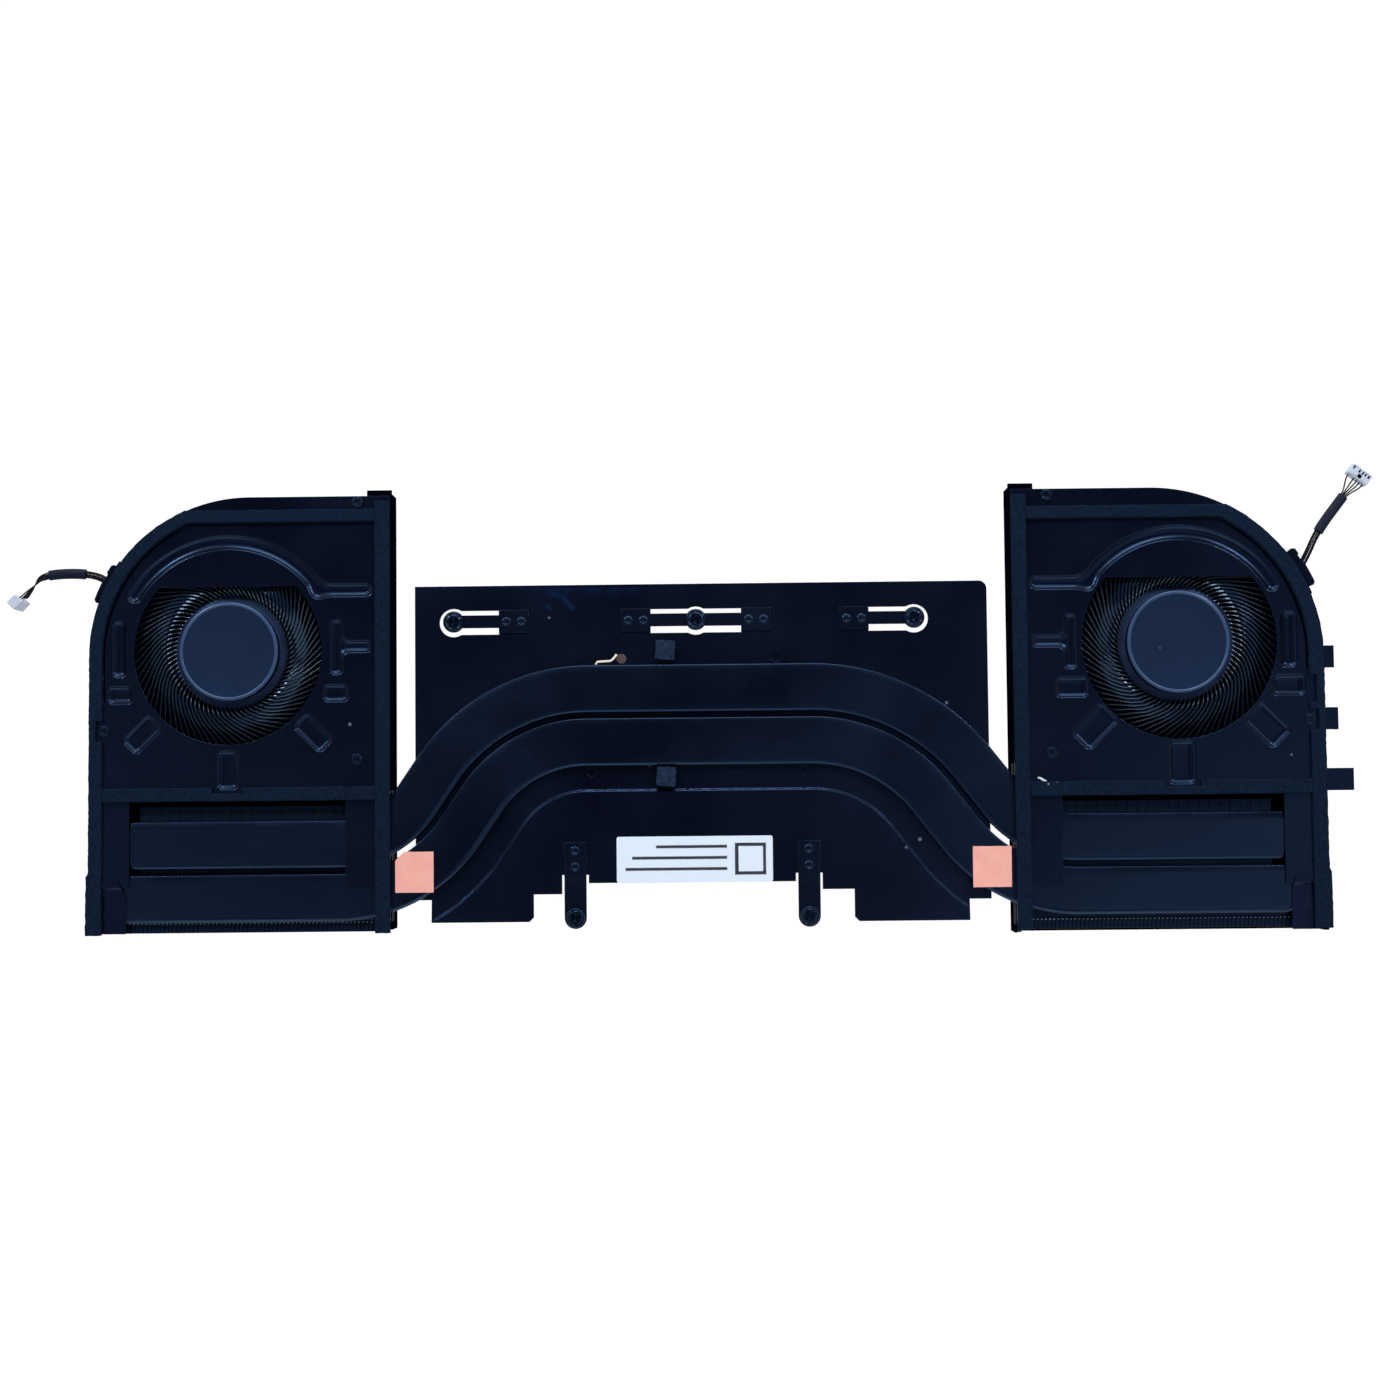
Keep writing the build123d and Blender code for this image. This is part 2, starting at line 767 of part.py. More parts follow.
def plate_outline():
    """The plate's plan: a wide sheet with a foot on each side and a notch round each lower arm."""
    half = low_arm_w / 2 + low_arm_gap
    notch_y = plate_front + low_arm_gap * 2.5
    with BuildSketch() as plan:
        with BuildLine():
            Polyline(
                (plate_left, plate_back),
                (plate_left, left_side_y),
                (left_foot_out, left_side_y),
                (left_foot_out, left_foot_y),
                (left_foot_in - foot_chamfer, left_foot_y),
                (left_foot_in, left_foot_y + foot_chamfer),
                (left_foot_in, left_shoulder_y),
                (left_low_x - half, left_shoulder_y),
                (left_low_x - half, notch_y),
                (left_low_x + half, notch_y),
                (left_low_x + half, plate_front),
                (right_low_x - half, plate_front),
                (right_low_x - half, notch_y),
                (right_low_x + half, notch_y),
                (right_low_x + half, right_shoulder_y),
                (right_foot_in, right_shoulder_y),
                (right_foot_in, right_foot_y + foot_chamfer),
                (right_foot_in + foot_chamfer, right_foot_y),
                (right_foot_out, right_foot_y),
                (right_foot_out, right_side_y),
                (plate_right, right_side_y),
                (plate_right, plate_back),
                close=True,
            )
        make_face()
        fillet(plan.vertices().group_by(Axis.Y)[-1].sort_by(Axis.X)[-1], plate_corner_r)
    return plan.sketch


def ledge(inset):
    """The part of the plate in front of its step, which runs beside the lower pipe."""
    far_front = min(left_foot_y, right_foot_y) - 1
    with BuildSketch() as plan:
        with BuildLine():
            corners, radii = route(step_shift + inset)
            step = FilletPolyline(*corners, radius=radii)
            Polyline(step @ 0, ((step @ 0).X, bay_y * 2), ((step @ 1).X, bay_y * 2), step @ 1)
        make_face()
        add(span(plate_left - 1, plate_right + 1, pipe_y, far_front), mode=Mode.INTERSECT)
    return plan.sketch


def base_plate():
    """The pressed plate: flat under the pipes, raised by a step in front of them, with screw slots."""
    eye = arm_eye_r + slot_side / 2
    slot_h = arm_w + 2 * slot_side
    with BuildPart() as plate:
        with BuildSketch(middle_at(plate_bottom)):
            add(plate_outline())
            with Locations((left_screw_x, screw_row_y), (0, screw_row_y), (right_screw_x, screw_row_y)):
                RegularPolygon(eye, round_sides, mode=Mode.SUBTRACT)
            for x_from, x_to in (
                (left_screw_x, left_screw_x + arm_reach),
                (-arm_reach, arm_reach),
                (right_screw_x - arm_reach, right_screw_x),
            ):
                add(span(x_from, x_to, screw_row_y - slot_h / 2, screw_row_y + slot_h / 2), mode=Mode.SUBTRACT)
            with Locations((0, hole_y_upper)):
                with GridLocations(2 * hole_x_upper, 1, 2, 1):
                    RegularPolygon(locating_hole_r, small_sides, mode=Mode.SUBTRACT)
            with Locations((0, hole_y_lower)):
                with GridLocations(2 * hole_x_lower, 1, 2, 1):
                    RegularPolygon(locating_hole_r, small_sides, mode=Mode.SUBTRACT)
        extrude(amount=plate_t)
        with BuildSketch(middle_at(plate_top)):
            add(plate_outline())
            add(ledge(0), mode=Mode.INTERSECT)
        extrude(amount=plate_step)
        with BuildSketch(middle_at(plate_bottom)):
            add(ledge(plate_t))
        extrude(amount=plate_step, mode=Mode.SUBTRACT)
    finish(plate, "base_plate")


def cold_plates():
    """The copper blocks under the plate that press on the two chips."""
    for name, x, width, depth in (
        ("left_cold_plate", left_cold_x, left_cold_w, left_cold_d),
        ("right_cold_plate", right_cold_x, right_cold_w, right_cold_d),
    ):
        with BuildPart() as block:
            with BuildSketch(middle_at(plate_bottom)):
                with Locations((x, cold_y)):
                    Rectangle(width, depth)
            extrude(amount=-cold_plate_t)
            chamfer(block.edges().filter_by(Axis.Z), cold_corner_r)
        finish(block, name)


def upper_arm(name, screw_x, sides):
    """A flat spring over a slot of the plate: one or two pads, a strip and an eye for the screw."""
    with BuildPart() as arm:
        with BuildSketch(middle_at(plate_top)):
            with Locations((screw_x, screw_row_y)):
                RegularPolygon(arm_eye_r, round_sides)
            for side in sides:
                pad_from = screw_x + side * arm_reach
                pad_to = pad_from + side * arm_pad_l
                add(span(screw_x, pad_to, screw_row_y - arm_w / 2, screw_row_y + arm_w / 2))
                add(span(pad_from, pad_to, screw_row_y - arm_pad_w / 2, screw_row_y + arm_pad_w / 2))
            with Locations((screw_x, screw_row_y)):
                RegularPolygon(neck_r + screw_clear, small_sides, mode=Mode.SUBTRACT)
        extrude(amount=arm_t)
    finish(arm, name)


def lower_arm(name, x):
    """A spring on the plate's ledge that bends down past the front edge, with a round end for its screw."""
    pad_end = plate_front + low_arm_gap * 2.5
    pad_start = pad_end + low_arm_pad_l
    tip_y = low_screw_y - low_arm_w / 2
    low_z = ledge_top - low_arm_drop
    with BuildPart() as arm:
        with BuildSketch(Plane((middle_x + x, axis_y, 0), x_dir=(0, 1, 0), z_dir=(1, 0, 0))):
            with BuildLine():
                Polyline(
                    (pad_start, ledge_top),
                    (pad_end, ledge_top),
                    (pad_end - low_arm_bend, low_z),
                    (tip_y, low_z),
                    (tip_y, low_z + arm_t),
                    (pad_end - low_arm_bend, low_z + arm_t),
                    (pad_end, ledge_top + arm_t),
                    (pad_start, ledge_top + arm_t),
                    close=True,
                )
            make_face()
        extrude(amount=low_arm_w / 2, both=True)
        chamfer(arm.edges().filter_by(Axis.Z).group_by(Axis.Y)[0], low_arm_w * 0.3)
        with BuildSketch(middle_at(low_z)):
            with Locations((x, low_screw_y)):
                RegularPolygon(neck_r + screw_clear, small_sides)
        extrude(amount=arm_t, mode=Mode.SUBTRACT)
    finish(arm, name)


def captive_screws():
    """The five screws that hold the module on the board, each on the end of its spring arm."""
    upper_seat = plate_top + arm_t
    lower_seat = ledge_top - low_arm_drop + arm_t
    upper = [(left_screw_x, screw_row_y), (0, screw_row_y), (right_screw_x, screw_row_y)]
    lower = [(left_low_x, low_screw_y), (right_low_x, low_screw_y)]
    with BuildPart() as screws:
        for seat, places in ((upper_seat, upper), (lower_seat, lower)):
            neck_end = seat - arm_t - screw_clear
            with BuildSketch(middle_at(seat)):
                with Locations(*places):
                    RegularPolygon(head_r, round_sides)
            extrude(amount=head_h)
            with BuildSketch(middle_at(seat)):
                with Locations(*places):
                    RegularPolygon(neck_r, small_sides)
            extrude(amount=neck_end - seat)
            with BuildSketch(middle_at(neck_end)):
                with Locations(*places):
                    Circle(screw_r)
            extrude(amount=screw_tip_z - neck_end)
    finish(screws, "captive_screws")


def stuck_on_pieces():
    """What is stuck on the plate and the pipes: two foam blocks, a label and two copper foils."""
    block_ys = {
        "back_foam_block": pipe_y + pipe_w / 2 + 1.2 + block_w / 2,
        "front_foam_block": pipe_y - step_shift + 0.9 + block_w / 2,
    }
    for name, y in block_ys.items():
        with BuildPart() as block:
            with BuildSketch(middle_at(plate_top)):
                with Locations((block_x, y)):
                    Rectangle(block_w, block_w)
            extrude(amount=block_h)
        finish(block, name)

    with BuildPart() as label:
        with BuildSketch(middle_at(ledge_top)):
            with Locations((label_x, plate_front + label_d / 2 + fit)):
                Rectangle(label_w, label_d)
        extrude(amount=sticker_t)
    finish(label, "label")

    foil_edges = {
        "left_copper_foil": left_x + left_inner + base_t + foil_gap - middle_x,
        "right_copper_foil": right_x - right_inner - base_t - foil_gap - foil_w - middle_x,
    }
    for name, x in foil_edges.items():
        with BuildPart() as foil:
            with BuildSketch(middle_at(pipe_top)):
                add(span(x, x + foil_w, foil_y - foil_d / 2, foil_y + foil_d / 2))
            extrude(amount=sticker_t)
            if name == "left_copper_foil":
                chamfer(foil.edges().filter_by(Axis.Z).group_by(Axis.Y)[-1].sort_by(Axis.X)[0], foil_cut)
        finish(foil, name)


for fan in (left_fan, right_fan):
    fan_base(fan)
    fan_frame(fan)
    fan_cover(fan)
    cover_screws(fan)
    impeller(fan)
    motor(fan)
    fin_stack(fan)
    gaskets(fan)
    end_tape(fan)
    lead_and_plug(fan)

base_plate()
cold_plates()
heat_pipe("upper_heat_pipe", 0, 0)
heat_pipe("lower_heat_pipe", pipe_pitch, lower_pipe_extra)
upper_arm("left_spring_arm", left_screw_x, [1])
upper_arm("middle_spring_arm", 0, [-1, 1])
upper_arm("right_spring_arm", right_screw_x, [-1])
lower_arm("left_front_arm", left_low_x)
lower_arm("right_front_arm", right_low_x)
captive_screws()
stuck_on_pieces()
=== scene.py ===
# %% [markdown]
# # A laptop's cooling module
# Two flat blowers sit at the ends of a pressed plate. Two flattened heat pipes cross the plate and run
# into a stack of fins in front of each blower. Everything is black, so its shape is read from rounded
# edges, stamped grooves and foam that catch the light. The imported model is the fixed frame, and every
# piece made here goes where that model says.

# %% Load the frame
import math

import bmesh
import bpy
import numpy as np
from mathutils import Matrix, Vector
from mathutils.geometry import delaunay_2d_cdt


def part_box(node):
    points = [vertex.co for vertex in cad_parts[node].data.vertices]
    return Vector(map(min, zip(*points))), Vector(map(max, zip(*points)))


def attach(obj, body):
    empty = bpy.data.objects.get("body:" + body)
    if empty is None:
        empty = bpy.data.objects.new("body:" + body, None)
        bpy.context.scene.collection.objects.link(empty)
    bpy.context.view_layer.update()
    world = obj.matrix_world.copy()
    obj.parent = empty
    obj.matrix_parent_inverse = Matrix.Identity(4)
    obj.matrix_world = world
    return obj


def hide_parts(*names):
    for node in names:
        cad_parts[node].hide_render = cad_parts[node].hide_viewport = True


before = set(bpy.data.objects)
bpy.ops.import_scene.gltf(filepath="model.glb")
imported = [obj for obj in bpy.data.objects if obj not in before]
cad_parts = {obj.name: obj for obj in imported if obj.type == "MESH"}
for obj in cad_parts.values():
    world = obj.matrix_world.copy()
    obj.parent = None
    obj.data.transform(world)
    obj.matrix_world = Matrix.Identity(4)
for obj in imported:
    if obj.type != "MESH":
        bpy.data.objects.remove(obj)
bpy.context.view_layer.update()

MM = 0.001
print("nodes in the frame:", len(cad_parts))

# %% [markdown]
# ## The camera
# The module lies flat and is seen from above, a little from the front. A lens of about 50 mm on a 36 mm
# sensor, half a metre up, gives the photograph's perspective: the inner walls of both blowers just show.

# %% Camera
camera_data = bpy.data.cameras.new("camera")
camera_data.lens = 49.54
camera_data.sensor_width = 36.0
camera = bpy.data.objects.new("camera", camera_data)
camera.location = (-0.00263, -0.02134, 0.528)
camera.rotation_euler = [math.radians(a) for a in (2.645, 0.326, -0.575)]
bpy.context.scene.collection.objects.link(camera)
bpy.context.scene.camera = camera
bpy.context.scene.view_settings.view_transform = "Standard"
print("camera height", camera.location.z)

# %% [markdown]
# ## Floor, walls and light
# A black object on white needs light from the sides and a dark space overhead, or its flat faces turn
# grey. So a white floor with a low white wall round it is the only bright thing, and the space above
# stays dim. Seen by the camera or in a reflection the floor adds its own white, and it still takes the
# object's shadow.

# %% Stage
def add_node(tree, kind, values=None, **settings):
    """A new node in a tree, with some of its settings and inputs filled in."""
    made = tree.nodes.new(kind)
    for name, value in settings.items():
        setattr(made, name, value)
    for socket, value in (values or {}).items():
        made.inputs[socket].default_value = value
    return made


def connect(tree, *links):
    """Links nodes. Each entry is a node and its output, then the next node and its input."""
    for source, output, target, socket in links:
        tree.links.new(source.outputs[output], target.inputs[socket])


def shader_nodes(material):
    """The node tree of a material, emptied but for its output."""
    material.use_nodes = True
    tree = material.node_tree
    tree.nodes.clear()
    return tree, tree.nodes.new("ShaderNodeOutputMaterial")


def white_stage_material(name, own_white):
    """White paper that also shows a white of its own to the camera and in reflections."""
    material = bpy.data.materials.new(name)
    tree, output = shader_nodes(material)
    paper = add_node(tree, "ShaderNodeBsdfDiffuse", {"Color": (0.86, 0.87, 0.88, 1)})
    glow = add_node(tree, "ShaderNodeEmission", {"Strength": own_white})
    both = add_node(tree, "ShaderNodeMixShader")
    path = add_node(tree, "ShaderNodeLightPath")
    glossy = add_node(tree, "ShaderNodeMath", operation="MAXIMUM")
    seen = add_node(tree, "ShaderNodeMath", operation="MAXIMUM")
    share = add_node(tree, "ShaderNodeMath", {1: 0.9}, operation="MULTIPLY")
    connect(tree, (path, "Is Glossy Ray", glossy, 0), (path, "Is Transmission Ray", glossy, 1),
            (path, "Is Camera Ray", seen, 0), (glossy, 0, seen, 1), (seen, 0, share, 0), (share, 0, both, 0),
            (paper, 0, both, 1), (glow, 0, both, 2), (both, 0, output, "Surface"))
    return material


def stage_piece(name, corners, faces, material):
    """A part of the room round the module, which the frame leaves out of the object."""
    mesh = bpy.data.meshes.new(name)
    mesh.from_pydata(corners, [], faces)
    mesh.materials.append(material)
    piece = bpy.data.objects.new(name, mesh)
    bpy.context.scene.collection.objects.link(piece)
    return piece


paper = white_stage_material("white_paper", 1.1)
REACH, WALL_H, WALL_SIDES, FLOOR_Z = 3.0, 1.1, 32, -0.0002
turns = [2 * math.pi * i / WALL_SIDES for i in range(WALL_SIDES)]
ring = [(REACH * math.cos(turn), REACH * math.sin(turn)) for turn in turns]
foot = [(x, y, FLOOR_Z) for x, y in ring]
stage_piece("floor", foot, [range(WALL_SIDES)], paper)
wall_faces = [((i + 1) % WALL_SIDES, i, i + WALL_SIDES, (i + 1) % WALL_SIDES + WALL_SIDES)
              for i in range(WALL_SIDES)]
stage_piece("backdrop", foot + [(x, y, WALL_H) for x, y in ring], wall_faces, paper)

# %% Lamps
world = bpy.data.worlds.new("dim_room")
bpy.context.scene.world = world
world.use_nodes = True
world.node_tree.nodes["Background"].inputs["Color"].default_value = (0.75, 0.87, 1.0, 1)
world.node_tree.nodes["Background"].inputs["Strength"].default_value = 0.05
LAMP_COLOUR = (0.88, 0.94, 1.0)


def lamp(name, place, width, height, watts):
    """A soft rectangular lamp that points at the middle of the module."""
    data = bpy.data.lights.new(name, "AREA")
    data.shape = "RECTANGLE"
    data.size, data.size_y, data.energy, data.color = width, height, watts, LAMP_COLOUR
    piece = bpy.data.objects.new(name, data)
    piece.location = place
    piece.rotation_euler = (-Vector(place)).to_track_quat("-Z", "Y").to_euler()
    bpy.context.scene.collection.objects.link(piece)


lamp("lamp_back", (0.0, 0.98, 0.58), 0.7, 0.62, 11.0)
lamp("lamp_back_left", (-0.66, 0.58, 0.62), 0.1, 0.1, 4.2)
lamp("lamp_back_right", (0.66, 0.58, 0.62), 0.1, 0.1, 4.2)
lamp("lamp_front", (0.0, -1.0, 0.52), 1.4, 0.5, 4.4)
lamp("panel_left", (-0.64, -0.35, 0.95), 0.7, 0.9, 1.05)
lamp("panel_right", (0.58, -0.35, 0.95), 0.7, 0.9, 1.75)
print("lamps: three behind, one low in front, two broad panels")

# %% [markdown]
# ## Finishes
# Nearly everything is black, but not the same black: powder-coated sheet, coated pipes, open foam,
# glossy moulded blades. One small node group gives every finish a fine grain and a broad, smudgy
# drift, and another scatters dust specks. Each material sets its own colours and its own roughness.

# %% Grain and dust groups
def shader_group(name, ins, outs):
    """An empty shader group with the named sockets."""
    group = bpy.data.node_groups.new(name, "ShaderNodeTree")
    for socket, kind in ins:
        group.interface.new_socket(socket, in_out="INPUT", socket_type=kind)
    for socket, kind in outs:
        group.interface.new_socket(socket, in_out="OUTPUT", socket_type=kind)
    return group, group.nodes.new("NodeGroupInput"), group.nodes.new("NodeGroupOutput")


def grain_group():
    """A fine grain, a broad drift, and a tone that is half of each."""
    group, inside, outside = shader_group(
        "grain",
        [("Vector", "NodeSocketVector"), ("Fine", "NodeSocketFloat"), ("Broad", "NodeSocketFloat")],
        [("Grain", "NodeSocketFloat"), ("Drift", "NodeSocketFloat"), ("Tone", "NodeSocketFloat")],
    )
    fine = add_node(group, "ShaderNodeTexNoise", {"Detail": 3.0})
    broad = add_node(group, "ShaderNodeTexNoise", {"Detail": 4.0})
    mix = add_node(group, "ShaderNodeMath", {1: 0.5}, operation="MULTIPLY_ADD")
    half = add_node(group, "ShaderNodeMath", {1: 0.5}, operation="MULTIPLY")
    connect(group, (inside, "Vector", fine, "Vector"), (inside, "Vector", broad, "Vector"),
            (inside, "Fine", fine, "Scale"), (inside, "Broad", broad, "Scale"), (broad, "Fac", half, 0),
            (fine, "Fac", mix, 0), (half, 0, mix, 2), (fine, "Fac", outside, "Grain"),
            (broad, "Fac", outside, "Drift"), (mix, 0, outside, "Tone"))
    return group


def dust_group():
    """Sparse specks: round spots in random cells, most cells left clean."""
    group, inside, outside = shader_group(
        "dust",
        [("Vector", "NodeSocketVector"), ("Scale", "NodeSocketFloat"), ("Clean", "NodeSocketFloat")],
        [("Speck", "NodeSocketFloat")],
    )
    cells = add_node(group, "ShaderNodeTexVoronoi")
    near = add_node(group, "ShaderNodeMapRange", {"From Min": 0.16, "From Max": 0.08})
    split = add_node(group, "ShaderNodeSeparateColor")
    chosen = add_node(group, "ShaderNodeMath", operation="GREATER_THAN")
    both = add_node(group, "ShaderNodeMath", operation="MULTIPLY")
    connect(group, (inside, "Vector", cells, "Vector"), (inside, "Scale", cells, "Scale"),
            (cells, "Distance", near, "Value"), (cells, "Color", split, "Color"), (split, "Red", chosen, 0),
            (inside, "Clean", chosen, 1), (near, "Result", both, 0), (chosen, 0, both, 1),
            (both, 0, outside, "Speck"))
    return group


GRAIN, DUST = grain_group(), dust_group()
print("shader groups:", GRAIN.name, DUST.name)

# %% Material builder
SPECK_GREY = (0.12, 0.14, 0.17)


def finish(name, dark, light, rough, fine, broad=40.0, drift=0.06, bump=0.15, specular=0.5,
           tint=(1.0, 1.0, 1.0), metallic=0.0, clean=1.0, dust_scale=260.0, dust_colour=SPECK_GREY,
           edge=None):
    """A procedural finish: two tones, a roughness that drifts, a fine bump and a few dust specks.
    With an edge colour, the mesh's own edge attribute lightens it: rubbed scuffs on the plate, a painted
    highlight on blade tops."""
    material = bpy.data.materials.new(name)
    tree, output = shader_nodes(material)
    shader = add_node(tree, "ShaderNodeBsdfPrincipled", {
        "Metallic": metallic, "Specular IOR Level": specular, "Specular Tint": (*tint, 1)})
    coords = add_node(tree, "ShaderNodeTexCoord")
    grain = add_node(tree, "ShaderNodeGroup", {"Fine": fine, "Broad": broad}, node_tree=GRAIN)
    tones = add_node(tree, "ShaderNodeValToRGB")
    for stop, position, tone in zip(tones.color_ramp.elements, (0.32, 0.68), (dark, light)):
        stop.position, stop.color = position, (*tone, 1)
    dust = add_node(tree, "ShaderNodeGroup", {"Scale": dust_scale, "Clean": clean}, node_tree=DUST)
    dusted = add_node(tree, "ShaderNodeMix", {"B": (*dust_colour, 1)}, data_type="RGBA")
    gloss = add_node(tree, "ShaderNodeMapRange", {
        "From Min": 0.3, "From Max": 0.7,
        "To Min": max(rough - drift, 0.02), "To Max": min(rough + drift, 1.0)})
    relief = add_node(tree, "ShaderNodeBump", {"Strength": bump, "Distance": 0.0001})
    connect(tree, (coords, "Object", grain, "Vector"), (coords, "Object", dust, "Vector"),
            (grain, "Tone", tones, "Fac"), (tones, "Color", dusted, "A"), (dust, "Speck", dusted, "Factor"))
    colour = dusted
    if edge:
        lightening = add_node(tree, "ShaderNodeAttribute", attribute_name="edge")
        colour = add_node(tree, "ShaderNodeMix", {"B": (*edge, 1)}, data_type="RGBA")
        connect(tree, (lightening, "Fac", colour, "Factor"), (dusted, "Result", colour, "A"))
    connect(tree, (colour, "Result", shader, "Base Color"), (grain, "Drift", gloss, "Value"),
            (gloss, "Result", shader, "Roughness"), (grain, "Grain", relief, "Height"),
            (relief, "Normal", shader, "Normal"), (shader, "BSDF", output, "Surface"))
    return material


BLUE_BLACK = (0.24, 0.49, 1.0)
finishes = {
    "cover": finish("powder_black", (0.0011, 0.0012, 0.0048), (0.0017, 0.0019, 0.0068), 0.29, 5200,
                    specular=0.41, tint=BLUE_BLACK, bump=0.1, clean=0.985),
    "wall": finish("wall_black", (0.0008, 0.0010, 0.0026), (0.0012, 0.0016, 0.0040), 0.6, 4200,
                   specular=0.0, tint=BLUE_BLACK, bump=0.06),
    "plate": finish("plate_black", (0.0014, 0.0014, 0.0048), (0.0022, 0.0022, 0.0072), 0.3, 5200,
                    specular=0.46, tint=BLUE_BLACK, bump=0.06, clean=0.975, edge=(0.004, 0.018, 0.07)),
    "pipe": finish("pipe_black", (0.0011, 0.0013, 0.0045), (0.0017, 0.0020, 0.0066), 0.32, 3800,
                   drift=0.09, specular=0.56, tint=BLUE_BLACK, bump=0.1, clean=0.985),
    "foam": finish("gasket_foam", (0.0016, 0.0036, 0.0092), (0.0088, 0.0178, 0.0385), 0.92, 3400, 1800,
                   specular=0.1, tint=BLUE_BLACK, bump=0.9, clean=0.985, dust_scale=420.0,
                   dust_colour=(0.4, 0.44, 0.5)),
    "block": finish("block_foam", (0.0030, 0.0060, 0.015), (0.024, 0.039, 0.076), 0.92, 2400, 700,
                    specular=0.1, tint=BLUE_BLACK, bump=0.9),
    "hub": finish("hub_film", (0.0066, 0.0132, 0.034), (0.0084, 0.0160, 0.040), 0.6, 4200, 90,
                  specular=0.2, tint=BLUE_BLACK, bump=0.05, clean=0.992),
    # The rim's lighter colour is a painted highlight on the cup's polished bevel
    "rim": finish("polished_rim", (0.028, 0.050, 0.115), (0.038, 0.068, 0.150), 0.35, 3000,
                  specular=0.5, tint=(0.6, 0.8, 1.0), bump=0.03, drift=0.04),
    "ring": finish("wheel_ring", (0.0095, 0.0130, 0.034), (0.0140, 0.0190, 0.047), 0.45, 3000, 300,
                   specular=0.4, tint=BLUE_BLACK, bump=0.15),
    # The blades' edge colour is a painted highlight along their top edges
    "blade": finish("blade_plastic", (0.0005, 0.0007, 0.0018), (0.0008, 0.0011, 0.0028), 0.14, 3000,
                    specular=0.8, tint=(0.5, 0.75, 1.0), bump=0.01, drift=0.03, edge=(0.006, 0.014, 0.032)),
    "moulded": finish("moulded_black", (0.0014, 0.0022, 0.0062), (0.0024, 0.0036, 0.0098), 0.6, 3200,
                      specular=0.06, tint=BLUE_BLACK, bump=0.12),
    "spring": finish("spring_black", (0.0014, 0.0018, 0.0052), (0.0022, 0.0027, 0.0076), 0.32, 4600,
                     specular=0.5, tint=BLUE_BLACK, bump=0.06, clean=0.985),
    "screw": finish("screw_black", (0.0008, 0.0010, 0.0030), (0.0013, 0.0016, 0.0044), 0.3, 3000,
                    specular=0.7, tint=BLUE_BLACK, bump=0.06),
    "fin": finish("fin_black", (0.0014, 0.0022, 0.0062), (0.0026, 0.0040, 0.0105), 0.42, 2400,
                  specular=0.4, tint=BLUE_BLACK, bump=0.08),
    # A painted glint for the edges of the fins' windows
    "burr": finish("bright_burr", (0.10, 0.13, 0.17), (0.17, 0.21, 0.27), 0.35, 3000, bump=0.05),
    "tape": finish("black_tape", (0.0012, 0.0014, 0.0052), (0.0019, 0.0021, 0.0078), 0.26, 1800, 300,
                   specular=0.34, tint=(0.27, 0.42, 1.0), bump=0.2),
    "foil": finish("copper_foil", (0.93, 0.40, 0.325), (0.99, 0.47, 0.385), 0.5, 1600, 260, metallic=0.1,
                   tint=(1.0, 0.85, 0.8), bump=0.12, clean=0.985, dust_colour=(0.35, 0.16, 0.11)),
    "copper": finish("machined_copper", (0.72, 0.30, 0.17), (0.84, 0.40, 0.25), 0.3, 2600, 120,
                     metallic=1.0, bump=0.1),
    # Copper darkened to how it looks in shade through a hole: painted shade
    "stud": finish("copper_stud", (0.055, 0.028, 0.030), (0.085, 0.044, 0.047), 0.5, 2600, 300, bump=0.1),
    # Bare metal, painted bright cream as its glint
    "solder": finish("bare_metal", (0.80, 0.66, 0.50), (0.95, 0.86, 0.72), 0.4, 2600, 400, bump=0.1),
    "label": finish("label_film", (0.75, 0.80, 0.885), (0.78, 0.83, 0.915), 0.4, 1800, 140,
                    specular=0.4, bump=0.03),
    "ink": finish("printed_grey", (0.02, 0.022, 0.034), (0.03, 0.033, 0.05), 0.5, 2200, 200, bump=0.02),
    "plug": finish("plug_nylon", (0.47, 0.50, 0.59), (0.54, 0.57, 0.67), 0.45, 2400, 300, bump=0.06),
    "wire": finish("wire_skin", (0.003, 0.0034, 0.0068), (0.005, 0.0056, 0.0105), 0.5, 2600, 300,
                   specular=0.08, bump=0.05),
    "sleeve": finish("lead_sleeve", (0.0040, 0.0060, 0.0175), (0.0062, 0.0092, 0.0250), 0.55, 2200, 300,
                     specular=0.12, bump=0.12),
    "steel": finish("ground_steel", (0.42, 0.43, 0.45), (0.55, 0.56, 0.58), 0.22, 3200,
                    metallic=1.0, bump=0.05),
    "bronze": finish("sintered_bronze", (0.30, 0.19, 0.09), (0.42, 0.28, 0.14), 0.5, 3400,
                     metallic=1.0, bump=0.2),
    "ferrite": finish("ferrite", (0.02, 0.02, 0.022), (0.035, 0.035, 0.038), 0.6, 2800, bump=0.15),
    "iron": finish("laminated_iron", (0.16, 0.16, 0.17), (0.26, 0.26, 0.27), 0.4, 2200,
                   metallic=1.0, bump=0.15),
    "board": finish("circuit_board", (0.008, 0.03, 0.014), (0.014, 0.05, 0.024), 0.4, 1800, bump=0.05),
}
print("finishes:", len(finishes))

# %% [markdown]
# ## How a sheet piece is made
# Most pieces are thin sheets with a drawn outline, some holes and a shallow stamped relief. A flat net of
# triangles is laid between the outline and the holes, each point is lifted to the height the stamping
# gives it, the rim is rounded over a few rings, and the underside follows. A displaced grid would need
# millions of faces for the same smooth edges. Blender's own constrained Delaunay routine lays the net.

# %% Flat nets
# Rings in a rounded rim, then the ring after them and the nearest net point, both in rim radii
LIP_STEPS, FLAT_RING, CLEAR_OF_RIM = 3, 1.9, 2.4


def as_loop(points, anticlockwise):
    """A closed outline as an array, turned the asked way round."""
    loop = np.asarray(points, float)
    loop = loop[np.linalg.norm(loop - np.roll(loop, 1, axis=0), axis=1) > 1e-4]
    x, y = loop[:, 0], loop[:, 1]
    area = np.sum(x * np.roll(y, -1) - np.roll(x, -1) * y)
    return loop if (area > 0) == anticlockwise else loop[::-1].copy()


